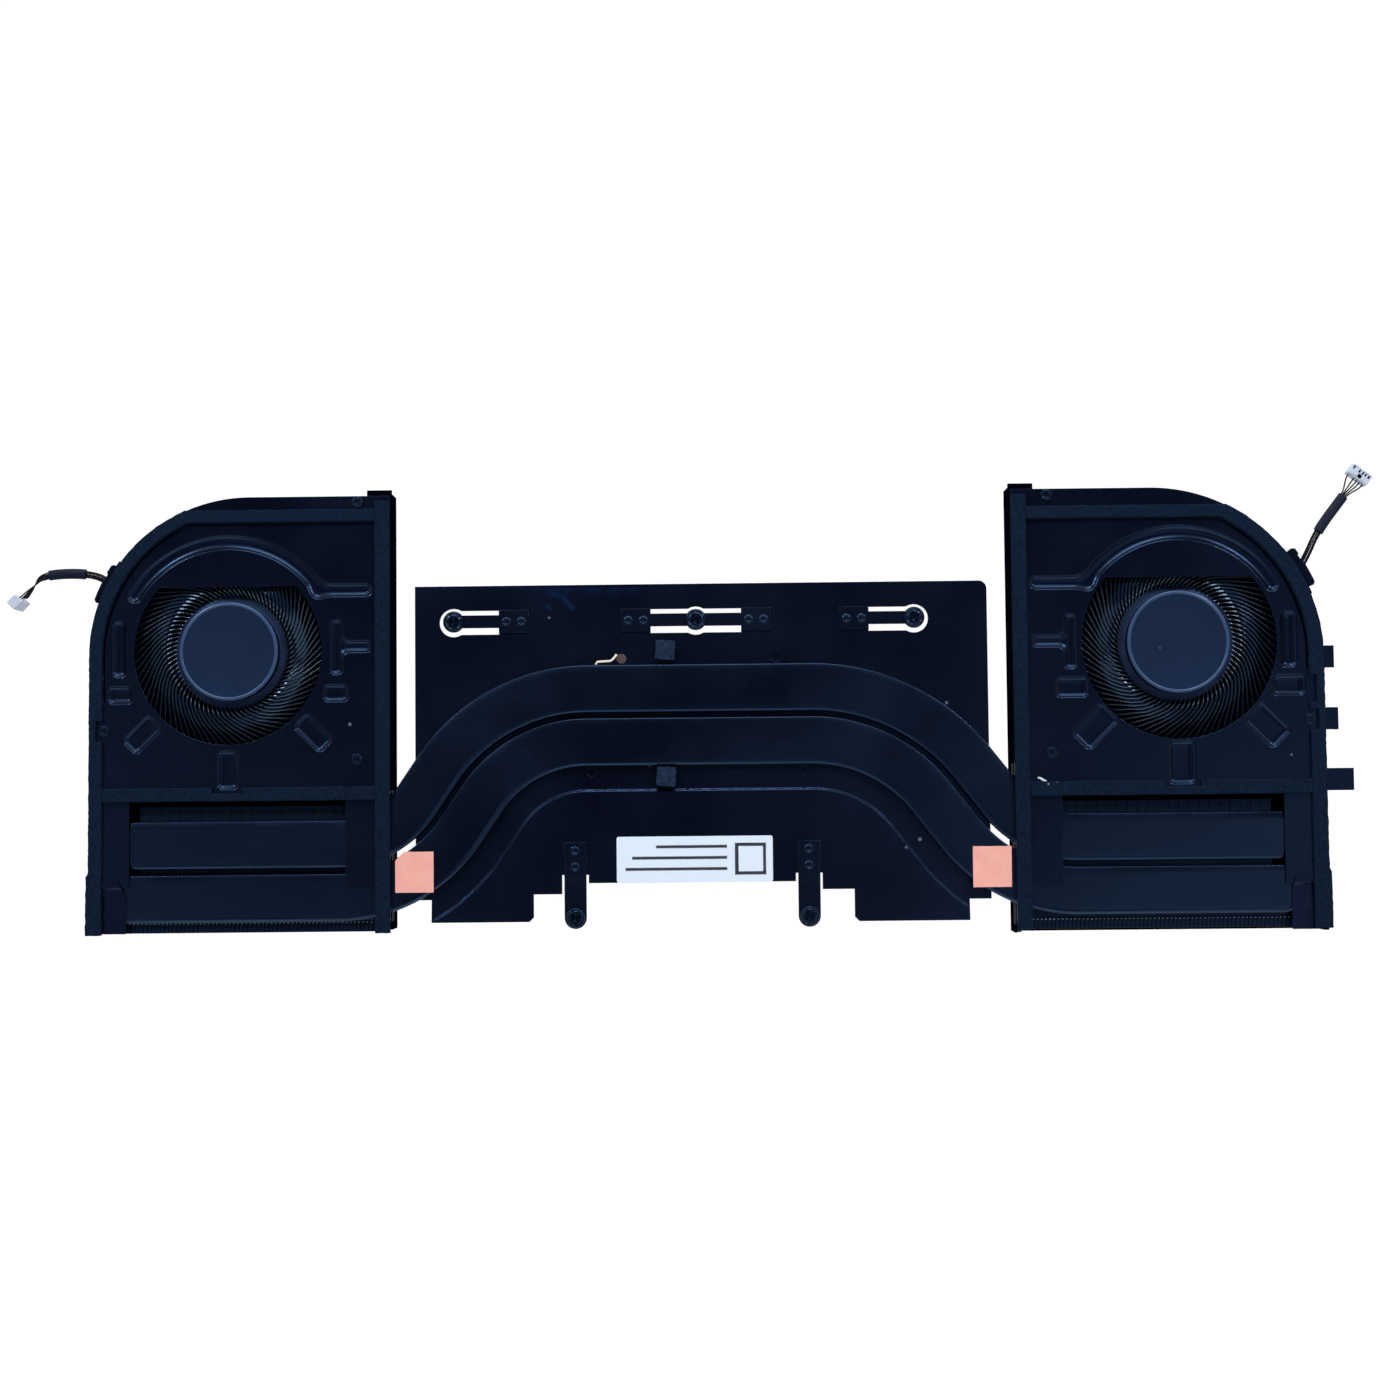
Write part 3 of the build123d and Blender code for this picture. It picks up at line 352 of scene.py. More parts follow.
def inward_steps(loop):
    """For each corner, the step into the material that moves both neighbouring sides by one."""
    ahead = np.roll(loop, -1, axis=0) - loop
    ahead /= np.linalg.norm(ahead, axis=1)[:, None]
    behind = np.roll(ahead, 1, axis=0)
    left_a = np.stack([-ahead[:, 1], ahead[:, 0]], axis=1)
    left_b = np.stack([-behind[:, 1], behind[:, 0]], axis=1)
    mitre = left_a + left_b
    return mitre / np.maximum(np.sum(mitre * left_a, axis=1), 0.35)[:, None]


def inside(points, loops):
    """Which points lie in the material: inside the outline and outside the holes."""
    count = np.zeros(len(points), int)
    for loop in loops:
        nxt = np.roll(loop, -1, axis=0)
        for (x0, y0), (x1, y1) in zip(loop, nxt):
            if y0 == y1:
                continue
            crosses = (points[:, 1] >= min(y0, y1)) & (points[:, 1] < max(y0, y1))
            at = x0 + (points[:, 1] - y0) * (x1 - x0) / (y1 - y0)
            count += crosses & (points[:, 0] < at)
    return count % 2 == 1


def loop_distance(points, loops):
    """Distance from each point to the nearest side of any loop."""
    best = np.full(len(points), 1e9)
    for loop in loops:
        for a, b in zip(loop, np.roll(loop, -1, axis=0)):
            run = b - a
            share = np.clip((points - a) @ run / (run @ run), 0, 1)
            best = np.minimum(best, np.linalg.norm(points - a - share[:, None] * run, axis=1))
    return best


def flat_net(loops, lip, extra):
    """Points, triangles and rim drop of a net between an outline and its holes."""
    loops = [as_loop(loop, i == 0) for i, loop in enumerate(loops)]
    points, drops, links = [], [], []
    for loop in loops:
        steps = inward_steps(loop)
        for i in range(LIP_STEPS + 2):
            turn = math.pi / 2 * min(i / LIP_STEPS, 1)
            inset = lip * (1 - math.cos(turn)) if i <= LIP_STEPS else lip * FLAT_RING
            first = len(points)
            points.extend(loop + steps * inset)
            drops.extend([lip * (1 - math.sin(turn))] * len(loop))
            links.extend((first + k, first + (k + 1) % len(loop)) for k in range(len(loop)))
    if extra is not None and len(extra):
        extra = extra[inside(extra, loops)]
        extra = extra[loop_distance(extra, loops) > lip * CLEAR_OF_RIM]
        points.extend(extra)
        drops.extend([0.0] * len(extra))
    made = delaunay_2d_cdt([Vector(p) for p in points], links, [], 0, 1e-6, True)
    flat = np.array([tuple(v) for v in made[0]])
    faces = np.array([f for f in made[2] if len(f) == 3])
    drop = np.array([drops[ids[0]] if ids else 0.0 for ids in made[3]])
    faces = faces[inside(flat[faces].mean(axis=1), loops)]
    a, b, c = (flat[faces[:, i]] for i in range(3))
    turned = (b[:, 0] - a[:, 0]) * (c[:, 1] - a[:, 1]) - (b[:, 1] - a[:, 1]) * (c[:, 0] - a[:, 0]) < 0
    faces[turned] = faces[turned][:, ::-1]
    return flat, faces, drop


def rim_sides(faces):
    """The directed sides that only one triangle has."""
    sides = np.concatenate([faces[:, [0, 1]], faces[:, [1, 2]], faces[:, [2, 0]]])
    key = np.sort(sides, axis=1)
    _, which, count = np.unique(key, axis=0, return_inverse=True, return_counts=True)
    return sides[count[which.ravel()] == 1]


# %% Sheet pieces
def facing_out(mesh):
    """Turns every face of a closed mesh outwards."""
    work = bmesh.new()
    work.from_mesh(mesh)
    bmesh.ops.remove_doubles(work, verts=work.verts, dist=1e-7)
    bmesh.ops.dissolve_degenerate(work, dist=1e-8, edges=work.edges)
    bmesh.ops.recalc_face_normals(work, faces=work.faces)
    work.to_mesh(mesh)
    work.free()
    return mesh


def mesh_of(name, points, faces, sharp=38.0):
    """A mesh from millimetres, shaded smooth but for its sharp edges."""
    mesh = bpy.data.meshes.new(name)
    mesh.from_pydata((np.asarray(points, float) * MM).tolist(), [], [list(f) for f in faces])
    mesh.validate()
    mesh.shade_smooth()
    mesh.set_sharp_from_angle(angle=math.radians(sharp))
    return mesh


def lofted(name, rows, wrap=False, sharp=38.0):
    """A closed mesh through rows of equally many points, joined into a ring or capped at both ends."""
    count, n = len(rows), len(rows[0])
    faces = []
    for i in range(count if wrap else count - 1):
        here, ahead = i * n, (i + 1) % count * n
        faces += [(here + k, ahead + k, ahead + (k + 1) % n, here + (k + 1) % n) for k in range(n)]
    if not wrap:
        faces += [tuple(range(n)), tuple(range((count - 1) * n, count * n))[::-1]]
    return facing_out(mesh_of(name, np.concatenate(rows), faces, sharp))


def pressed(name, loops, height, thickness=None, floor=None, lip=0.12, extra=None, ink=None):
    """A closed sheet piece. height gives the top at each point, and the underside is parallel or flat."""
    flat, faces, drop = flat_net(loops, lip, extra)
    top = height(flat)
    low = np.full(len(flat), floor) if thickness is None else top - thickness
    upper = np.column_stack([flat, top - drop])
    lower = np.column_stack([flat, low])
    n = len(flat)
    walls = [(a, a + n, b + n, b) for a, b in rim_sides(faces)]
    every = [tuple(f) for f in faces] + [tuple(f[::-1] + n) for f in faces] + walls
    mesh = mesh_of(name, np.concatenate([upper, lower]), every)
    if ink is not None:
        marked = ink(flat[faces].mean(axis=1))
        for polygon, flag in zip(mesh.polygons, marked):
            polygon.material_index = int(flag)
    return mesh


def painted(mesh, number):
    """The mesh with one of its piece's materials on every face."""
    for polygon in mesh.polygons:
        polygon.material_index = number
    return mesh


def level(z):
    """A flat top at one height."""
    return lambda p: np.full(len(p), float(z))


def grid(low, high, pitch):
    """Points in staggered rows."""
    x, y = np.meshgrid(np.arange(low[0], high[0], pitch), np.arange(low[1], high[1], pitch))
    x = x + (np.arange(x.shape[0]) % 2)[:, None] * pitch / 2
    return np.column_stack([x.ravel(), y.ravel()])


def add_piece(name, mesh, materials, body="module", stands_for=()):
    """Links a finished mesh as a piece on the body it rides on, and hides the frame's nodes that it stands
    for.
    """
    # Clearing resets the faces' material numbers too, so a mesh with no materials yet is left alone
    if len(mesh.materials):
        mesh.materials.clear()
    for material in materials:
        mesh.materials.append(finishes[material])
    piece = bpy.data.objects.new(name, mesh)
    bpy.context.scene.collection.objects.link(piece)
    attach(piece, body)
    if stands_for:
        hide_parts(*stands_for)
    print(f"{name}: {len(mesh.polygons)} faces")
    return piece


def joined(name, meshes):
    """Several meshes as one, each keeping its material numbers."""
    both = bmesh.new()
    for mesh in meshes:
        both.from_mesh(mesh)
        bpy.data.meshes.remove(mesh)
    made = bpy.data.meshes.new(name)
    both.to_mesh(made)
    both.free()
    return made


# %% Distances to stamped shapes
def box_distance(p, centre, size, r, turn=0.0):
    """Signed distance to a rounded rectangle, less than nothing inside."""
    c, s = math.cos(turn), math.sin(turn)
    d = p - np.asarray(centre)
    local = np.column_stack([d[:, 0] * c + d[:, 1] * s, d[:, 1] * c - d[:, 0] * s])
    q = np.abs(local) - np.asarray(size) / 2 + r
    return np.linalg.norm(np.maximum(q, 0), axis=1) + np.minimum(q.max(axis=1), 0) - r


def line_distance(p, line):
    """Distance to a line of points, with a sign: less than nothing on its right."""
    best, sign = np.full(len(p), 1e9), np.ones(len(p))
    for a, b in zip(line, line[1:]):
        run = b - a
        share = np.clip((p - a) @ run / (run @ run), 0, 1)
        away = p - a - share[:, None] * run
        d = np.linalg.norm(away, axis=1)
        nearer = d < best
        best = np.where(nearer, d, best)
        side = run[0] * (p[:, 1] - a[1]) - run[1] * (p[:, 0] - a[0])
        sign = np.where(nearer, np.sign(side), sign)
    return best * sign


def soft_union(a, b, k):
    """The nearer of two distances, with a fillet of size k where they meet."""
    h = np.clip(0.5 + 0.5 * (b - a) / k, 0, 1)
    return b * (1 - h) + a * h - k * h * (1 - h)


def ease(t):
    """A soft step from nothing to one."""
    t = np.clip(t, 0, 1)
    return t * t * (3 - 2 * t)


def arc_points(centre, r, start, end, steps):
    """Points along an arc, with angles in degrees."""
    turns = np.radians(np.linspace(start, end, steps + 1))
    return list(zip(centre[0] + r * np.cos(turns), centre[1] + r * np.sin(turns)))


def slope_of(height, p, e):
    """How fast a height changes along x and along y, from a small step to both sides."""
    along_x, along_y = (height(p + step) - height(p - step) for step in ((e, 0), (0, e)))
    return np.column_stack([along_x, along_y]) / (2 * e)


# %% [markdown]
# ## The two blowers
# The blowers are mirror images in plan but differ in size by a millimetre or so. Each is drawn outwards
# from its impeller's axis: u runs away from the middle of the module and v towards the back.

# %% Blower sizes
class Blower:
    """One blower: its axis, and its sizes in millimetres from that axis.
    outer, inner, front and corner are its sides and its round corner. bay, leg, window and window_in bound
    the opening over the fins. inlet, hub, ring and tip are radii. bare, edge, reach and cross place the
    foam. lug is the clip's two angles and how far it stands out. pad, key, bar and lift shape the grooves."""

    def __init__(self, name, side, sizes):
        self.name, self.side = name, side
        self.__dict__.update(sizes)
        low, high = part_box(f"{name}_fan_shaft")
        self.x, self.y = ((low + high) / 2).xy / MM
        self.corner_centre = (self.outer - self.corner, BACK - self.corner)

    def place(self, points):
        """Points given as u and v, in the frame's millimetres."""
        p = np.asarray(points, float)
        return np.column_stack([self.x + self.side * p[:, 0], self.y + p[:, 1]])

    def local(self, points):
        """Points of the frame, as u and v."""
        return np.column_stack([(points[:, 0] - self.x) * self.side, points[:, 1] - self.y])


BACK = 41.9
COVER_TOP, FOAM_T, COVER_T = 8.1, 1.2, 0.5
PLATE_TOP, PLATE_T, STEP_H = 5.3, 0.8, 0.6
EDGE_FOAM, INNER_FOAM = 3.4, 4.0
left_blower = Blower("left", -1, dict(
    outer=37.4, inner=43.9, front=75.6, corner=43.0, bay=40.2, leg=63.7, window=26.7, window_in=31.8,
    inlet=25.4, hub=13.4, ring=15.5, tip=28.0, bare=3.6, edge=3.5, reach=0.8, cross=(3.3, 0.45),
    lug=(19.5, 34.3, 0.0), pad=(6.5, 11.2), key=(7.5, 5.5), bar=4.6, lift=0.75))
right_blower = Blower("right", 1, dict(
    outer=38.7, inner=45.0, front=78.0, corner=46.0, bay=41.3, leg=65.3, window=27.3, window_in=32.4,
    inlet=26.3, hub=13.9, ring=16.0, tip=28.8, bare=4.8, edge=4.0, reach=-0.6, cross=(3.9, 0.05),
    lug=(23.5, 37.2, 0.9), pad=(8.0, 12.4), key=(9.6, 6.3), bar=5.0, lift=0.3))
BLOWERS = (left_blower, right_blower)
print("axes at", [(round(b.x, 2), round(b.y, 2)) for b in BLOWERS])

# %% [markdown]
# ## Stamped covers
# The cover is one pressed sheet. Grooves about a millimetre deep stiffen it round the air inlet: an arch
# with a straight tail, two bars, a branch and five pads. Their soft walls catch the light on the side
# that faces a lamp, so they are real relief and not a bump map. The groove's depth at a point depends
# only on its distance to the drawn shape.

# %% Cover outline and grooves
GROOVE_ROUND, GROOVE_STEEP, GROOVE_FOOT = 0.5, 0.06, 1.6
GROOVE_SLOPE = math.radians(50)
RIB_R, RIB_W, RIB_FROM, RIB_TO, TAIL_V = 29.6, 4.5, 31.0, 146.0, 16.3
BAR_U, KEY_U, KEY_V, SLANT_PAD, FRONT_PAD = 29.4, 29.2, -12.4, 23.12, -33.0
INLET_CHORD = 17.6
GAP_SIDES = (0.1, 0.55)
TABS = ((-4.5, 2.9), (-21.2, 3.7), (-37.6, 7.5))
TAB_D = 6.0


def cover_outline(b):
    """Round the cover from the front of its outer leg."""
    front = b.front + b.reach
    outline = [(b.outer, -front)]
    if b.side > 0:
        for v, reach in reversed(TABS):
            outline += [(b.outer, v - TAB_D / 2), (b.outer + reach, v - TAB_D / 2),
                        (b.outer + reach, v + TAB_D / 2), (b.outer, v + TAB_D / 2)]
    outline += arc_points(b.corner_centre, b.corner, 0, 90, 48)
    outline += [(-b.inner, BACK), (-b.inner, -front), (INNER_FOAM - b.inner, -front),
                (INNER_FOAM - b.inner, -b.leg), (-b.window_in, -b.leg), (-b.window_in, -b.bay),
                (b.window, -b.bay), (b.window, -b.leg), (b.outer - EDGE_FOAM, -b.leg),
                (b.outer - EDGE_FOAM, -front)]
    return outline


def inlet_outline(b):
    """A circle cut off by a straight chord at the back."""
    reach = math.degrees(math.asin(INLET_CHORD / b.inlet))
    return arc_points((0, 0), b.inlet, 180 - reach, 360 + reach, 150)


def edge_gap(b):
    """A thin gap that parts the cover from the frame's round corner."""
    low = -14.0 if b.side < 0 else -8.0
    sides = []
    for inset in GAP_SIDES:
        bend = arc_points(b.corner_centre, b.corner - b.edge - inset, 0, 60, 40)
        sides.append([(b.outer - b.edge - inset, low), *bend])
    return sides[0] + sides[1][::-1]


def groove_distance(b, p):
    """Signed distance to all the stamped grooves, in the blower's own plan."""
    turn = np.degrees(np.arctan2(p[:, 1], p[:, 0]))
    near = np.radians(np.clip(np.where(turn < -90, turn + 360, turn), RIB_FROM, RIB_TO))
    rib = np.linalg.norm(p - RIB_R * np.column_stack([np.cos(near), np.sin(near)]), axis=1) - RIB_W / 2
    tail_end = -(b.inner - INNER_FOAM - 1)
    tail_start = RIB_R * math.cos(math.radians(RIB_TO))
    tail_line = np.array([(tail_start, TAIL_V), (tail_end + 1.6, TAIL_V)])
    tail = np.abs(line_distance(p, tail_line)) - RIB_W / 2 + 0.1
    best = soft_union(rib, tail, 2.4)
    p = p - (0, b.lift)
    bar = box_distance(p, (-BAR_U, 0), (4.2, 15.6), 1.7)
    branch = box_distance(p, ((tail_end - BAR_U) / 2, 0.2), (-BAR_U - tail_end, 4.0), 1.2)
    best = np.minimum(best, soft_union(bar, branch, 2.2))
    best = np.minimum(best, box_distance(p, (BAR_U, 0), (b.bar, 16.0), 2.0))
    for sign in (1, -1):
        best = np.minimum(best, box_distance(p, (sign * KEY_U, KEY_V), b.key, 1.8))
        turn = math.radians(45 * sign)
        best = np.minimum(best, box_distance(p, (sign * SLANT_PAD, -SLANT_PAD), b.pad, 2.0, turn))
    return np.minimum(best, box_distance(p, (0, FRONT_PAD), b.pad, 2.0))


def groove_depth(d):
    """How deep the stamping is at a distance d inside its edge: round top, steep run, wide round foot."""
    steepest = math.sin(GROOVE_SLOPE)
    r, foot = GROOVE_ROUND / steepest, GROOVE_FOOT / steepest
    end = GROOVE_ROUND + GROOVE_STEEP + GROOVE_FOOT
    drop = r - np.sqrt(r * r - np.clip(d, 0, GROOVE_ROUND) ** 2)
    drop += np.clip(d - GROOVE_ROUND, 0, GROOVE_STEEP) * math.tan(GROOVE_SLOPE)
    left = np.clip(end - d, 0, GROOVE_FOOT)
    whole = foot - math.sqrt(foot * foot - GROOVE_FOOT ** 2)
    return drop + whole - (foot - np.sqrt(foot * foot - left ** 2))


def on_contours(distance, low, high, levels):
    """Points that lie on contours of a distance, so that a net over them follows the shape."""
    rows = []
    for value, pitch in levels:
        p = grid(low, high, pitch)
        p = p[np.abs(distance(p) - value) < pitch * 0.6]
        for _ in range(3):
            miss = distance(p) - value
            slope = slope_of(distance, p, 1e-3)
            p = p - slope * (miss / np.maximum(np.sum(slope ** 2, axis=1), 0.2))[:, None]
        rows.append(p[np.abs(distance(p) - value) < 0.02])
    return np.concatenate(rows)


# %% Covers
# Distances from a groove's edge, each with the pitch of its points
CONTOURS = ((0.12, 0.4), (0.0, 0.24), (-0.13, 0.24), (-0.26, 0.24), (-0.39, 0.24), (-0.5, 0.24),
            (-0.56, 0.3), (-0.8, 0.4), (-1.1, 0.45), (-1.4, 0.5), (-1.75, 0.55), (-2.12, 0.7))


def cover_height(b, p):
    """The stamped top at points of the blower's own plan."""
    return COVER_TOP - groove_depth(-groove_distance(b, p))


def cover_mesh(b):
    """The sheet with its inlet and its thin gap, netted along the grooves."""
    outline, hole = b.place(cover_outline(b)), b.place(inlet_outline(b))
    low, high = outline.min(axis=0), outline.max(axis=0)
    fine = on_contours(lambda p: groove_distance(b, b.local(p)), low, high, CONTOURS)
    coarse = grid(low, high, 3.5)
    away = groove_distance(b, b.local(coarse))
    coarse = coarse[(away > 1.0) | (away < -2.4)]
    return pressed(f"{b.name}_cover", [outline, hole, b.place(edge_gap(b))],
                   lambda p: cover_height(b, b.local(p)), thickness=COVER_T, lip=0.12,
                   extra=np.concatenate([fine, coarse]))


def smooth_stamping(mesh, b):
    """Gives the points of the stamped top the exact normal of its height, so that highlights run evenly."""
    at = np.empty(len(mesh.vertices) * 3)
    mesh.vertices.foreach_get("co", at)
    at = at.reshape(-1, 3) / MM
    p = b.local(at[:, :2])
    slope = slope_of(lambda q: cover_height(b, q), p, 0.02)
    normals = np.column_stack([-slope[:, 0] * b.side, -slope[:, 1], np.ones(len(p))])
    normals /= np.linalg.norm(normals, axis=1)[:, None]
    normals[np.abs(at[:, 2] - cover_height(b, p)) > 1e-3] = 0
    mesh.normals_split_custom_set_from_vertices(normals.tolist())


def folded_lip(b):
    """The middle side tab ends in a lip that is folded down."""
    v, reach = TABS[1]
    end = b.outer + reach
    outer = [(end - 1.2, 8.1), (end - 0.5, 8.07), (end - 0.12, 7.9), (end, 7.5), (end, 5.4)]
    inner = [(end - 0.45, 5.4), (end - 0.45, 7.4), (end - 0.7, 7.6), (end - 1.2, 7.62)]
    return lofted("lip", [[(b.x + b.side * u, b.y + y, z) for u, z in outer + inner]
                          for y in (v - TAB_D / 2, v + TAB_D / 2)])


for b in BLOWERS:
    mesh = cover_mesh(b)
    if b.side > 0:
        mesh = joined("right_cover", [mesh, folded_lip(b)])
    smooth_stamping(mesh, b)
    add_piece(f"{b.name}_stamped_cover", mesh, ["cover"],
              stands_for=[f"{b.name}_fan_cover"])

# %% [markdown]
# ## Gasket foam
# Strips of open foam are stuck round each cover to seal it against the laptop's shell. Cut foam has a
# slightly uneven edge and a soft rounded top, so its outline is shaken by about a twentieth of a
# millimetre with a fixed seed, and its top is lifted by a smooth noise.

# %% Foam strips
FOAM_SHAKE, FOAM_SIDE, FOAM_NOTCH = 0.045, 0.9, 1.8
shake = np.random.default_rng(7)


def walked(points, pitch):
    """The outline with extra points along its long sides."""
    out = []
    for a, b in zip(points, np.roll(points, -1, axis=0)):
        parts = max(1, int(np.linalg.norm(b - a) / pitch))
        out += [a + (b - a) * i / parts for i in range(parts)]
    return np.array(out)


def ripple(p, seed, size, amount):
    """A smooth uneven surface: a few waves with random directions."""
    waves = np.random.default_rng(seed)
    total = np.zeros(len(p))
    for _ in range(9):
        turn = waves.uniform(0, 2 * math.pi)
        phase, scale = waves.uniform(0, 6.28), waves.uniform(0.6, 1.7)
        k = 2 * math.pi / (size * scale)
        total += np.sin(k * (p[:, 0] * math.cos(turn) + p[:, 1] * math.sin(turn)) + phase)
    return total / 9 * amount


def foam_mesh(name, outline, seed):
    """A strip with a shaken edge and an uneven top."""
    outline = as_loop(walked(np.asarray(outline), FOAM_SIDE), True)
    outline = outline + shake.normal(0, FOAM_SHAKE, outline.shape)
    low, high = outline.min(axis=0), outline.max(axis=0)

    def height(p):
        return COVER_TOP + FOAM_T - 0.1 + ripple(p, seed, 5.0, 0.16)

    return pressed(name, [outline], height, floor=COVER_TOP, lip=0.32, extra=grid(low, high, 0.85))


def outer_foam_outline(b):
    """Along the outer side, round the corner and along the back, with notches in its inner edge."""
    top, low = BACK - b.bare, BACK - b.bare - 3.5
    centre = b.corner_centre
    meet_out = math.degrees(math.asin((top - centre[1]) / b.corner))
    meet_in = math.degrees(math.asin((low - centre[1]) / (b.corner - b.edge)))
    outline = [(b.outer + 0.8, -b.front - b.reach), (b.outer + 0.7, 3.0 - b.leg),
               (b.outer + 0.1, 4.0 - b.leg)]
    outline += arc_points(centre, b.corner, 0, meet_out, 40)
    outline += [(INNER_FOAM - b.inner, top), (INNER_FOAM - b.inner, low)]
    outline += arc_points(centre, b.corner - b.edge, meet_in, 0, 40)
    edge, notch = b.outer - b.edge, b.outer - FOAM_NOTCH
    if b.side > 0:
        outline += [(edge, -9.5), (b.outer - 2.2, -9.5), (b.outer - 2.2, -16.7), (edge, -16.7)]
    outline += [(edge, -18.7), (notch, -18.7), (notch, -24.1), (edge, -24.1), (edge, -b.front - b.reach)]
    return outline


def cross_foam_outline(b):
    """Across the front of the cover, with a tongue over the front pad."""
    inner, outer = INNER_FOAM - b.inner, b.outer - b.edge
    top, front = b.cross[0] - b.bay, -b.bay - b.cross[1]
    half, low = b.pad[0] / 2 + 0.9, -32.9 - b.pad[1] / 2
    return [(inner, front), (outer, front), (outer, top), (half, top), (half, low), (-half, low),
            (-half, top), (inner, top)]


FLAKE = ((85.5, -18.95), (86.3, -19.1), (87.0, -19.55), (87.9, -20.0), (87.5, -20.25), (86.6, -20.05),
         (86.1, -19.6), (85.4, -19.4))
for b in BLOWERS:
    front, back = -b.front - b.reach, BACK - 1.5
    inner = [(-b.inner, front), (INNER_FOAM - b.inner, front), (INNER_FOAM - b.inner, back), (-b.inner, back)]
    strips = {"outer": outer_foam_outline(b), "inner": inner, "cross": cross_foam_outline(b)}
    for part, outline in strips.items():
        mesh = foam_mesh(f"{b.name}_{part}", b.place(outline), 10 + len(part))
        if part == "cross" and b.side > 0:
            flake = pressed("flake", [np.array(FLAKE)], level(COVER_TOP + 0.25), floor=COVER_TOP, lip=0.06)
            mesh = joined("right_cross", [mesh, painted(flake, 1)])
        add_piece(f"{b.name}_{part}_gasket", mesh, ["foam", "label"],
                            stands_for=[f"{b.name}_{part}_foam"])

# %% [markdown]
# ## Frames and floors
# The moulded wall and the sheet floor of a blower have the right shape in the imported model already. Only
# their edges are too sharp. So each is copied, its loose triangles are merged, its flat faces are joined
# up again and a small bevel is run along every edge.

# %% Bevelled copies
def bevelled(node, width, segments=2):
    """A copy of a CAD node's mesh with rounded edges."""
    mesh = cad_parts[node].data.copy()
    work = bmesh.new()
    work.from_mesh(mesh)
    bmesh.ops.remove_doubles(work, verts=work.verts, dist=2e-6)
    bmesh.ops.dissolve_limit(work, angle_limit=math.radians(1.0), verts=work.verts, edges=work.edges)
    work.to_mesh(mesh)
    work.free()
    carrier = bpy.data.objects.new("carrier", mesh)
    bpy.context.scene.collection.objects.link(carrier)
    bevel = carrier.modifiers.new("round", "BEVEL")
    bevel.width, bevel.segments, bevel.limit_method = width * MM, segments, "ANGLE"
    bevel.angle_limit, bevel.harden_normals = math.radians(40), True
    return baked(carrier, f"{node}_rounded")


def baked(carrier, name):
    """The carrier's evaluated shape as a plain mesh. The carrier and its modifiers go."""
    graph = bpy.context.evaluated_depsgraph_get()
    mesh = bpy.data.meshes.new_from_object(carrier.evaluated_get(graph), preserve_all_data_layers=True,
                                           depsgraph=graph)
    mesh.name = name
    bpy.data.objects.remove(carrier)
    return mesh


LUG_LOW, LUG_TOP = 6.55, 7.85


def clip_lug(b):
    """A small plate on the round corner that holds the wires down, with a notch where they come out."""
    centre = b.corner_centre
    start, end, further = b.lug
    r = b.corner + further
    loop = arc_points(centre, b.corner - 1.2, end, start, 10)
    loop += arc_points(centre, r + 1.2, start, end, 1)[:1]
    loop += arc_points(centre, r + 1.8, start + 0.8, start + 8, 5)
    loop += arc_points(centre, r + 1.45, start + 8.2, start + 10.8, 3)
    loop += arc_points(centre, r + 1.9, start + 11, end - 0.7, 3)
    loop += arc_points(centre, r + 1.2, end, start, 1)[:1]
    return pressed("lug", [b.place(loop)], level(LUG_TOP), floor=LUG_LOW, lip=0.2)


for b in BLOWERS:
    for node, material, slot, width in (("fan_base", "wall", "black_sheet", 0.14),
                                        ("fan_frame", "moulded", "black_plastic", 0.2)):
        mesh = bevelled(f"{b.name}_{node}", width)
        if node == "fan_frame":
            mesh = joined(f"{b.name}_frame", [mesh, clip_lug(b)])
        add_piece(f"{b.name}_{node}_rounded", mesh, [material], stands_for=[f"{b.name}_{node}"])

# %% [markdown]
# ## Impellers
# The wheel is a cup over the motor with a polished rim, painted lighter as a highlight, a lower ring round it
# and 79 thin blades. Each blade bends one way near the ring and back again towards its tip. One blade is
# lofted along that curve with slanted facets along its top and a painted highlight along its top edge, and
# Geometry Nodes copies it round the axis. The cup is turned.

# %% Geometry Nodes helpers
def node_tree(name, inputs):
    """A Geometry Nodes tree with named inputs, and its input and output nodes."""
    tree = bpy.data.node_groups.new(name, "GeometryNodeTree")
    tree.interface.new_socket("Geometry", in_out="INPUT", socket_type="NodeSocketGeometry")
    for label, kind in inputs:
        tree.interface.new_socket(label, in_out="INPUT", socket_type=kind)
    tree.interface.new_socket("Geometry", in_out="OUTPUT", socket_type="NodeSocketGeometry")
    return tree, tree.nodes.new("NodeGroupInput"), tree.nodes.new("NodeGroupOutput")


def close_tree(tree, last, output, source, outside):
    """Ends a tree in Realize Instances and Set Material."""
    real = add_node(tree, "GeometryNodeRealizeInstances")
    paint = add_node(tree, "GeometryNodeSetMaterial")
    connect(tree, (last, output, real, "Geometry"), (real, "Geometry", paint, "Geometry"),
            (source, "Material", paint, "Material"), (paint, "Geometry", outside, "Geometry"))


def grown(name, mesh, tree, values):
    """Runs a tree on a mesh and returns the plain result."""
    carrier = bpy.data.objects.new("carrier", mesh)
    bpy.context.scene.collection.objects.link(carrier)
    modifier = carrier.modifiers.new("grow", "NODES")
    modifier.node_group = tree
    for item in tree.interface.items_tree:
        if item.item_type == "SOCKET" and item.in_out == "INPUT" and item.name in values:
            modifier[item.identifier] = values[item.name]
    return baked(carrier, name)


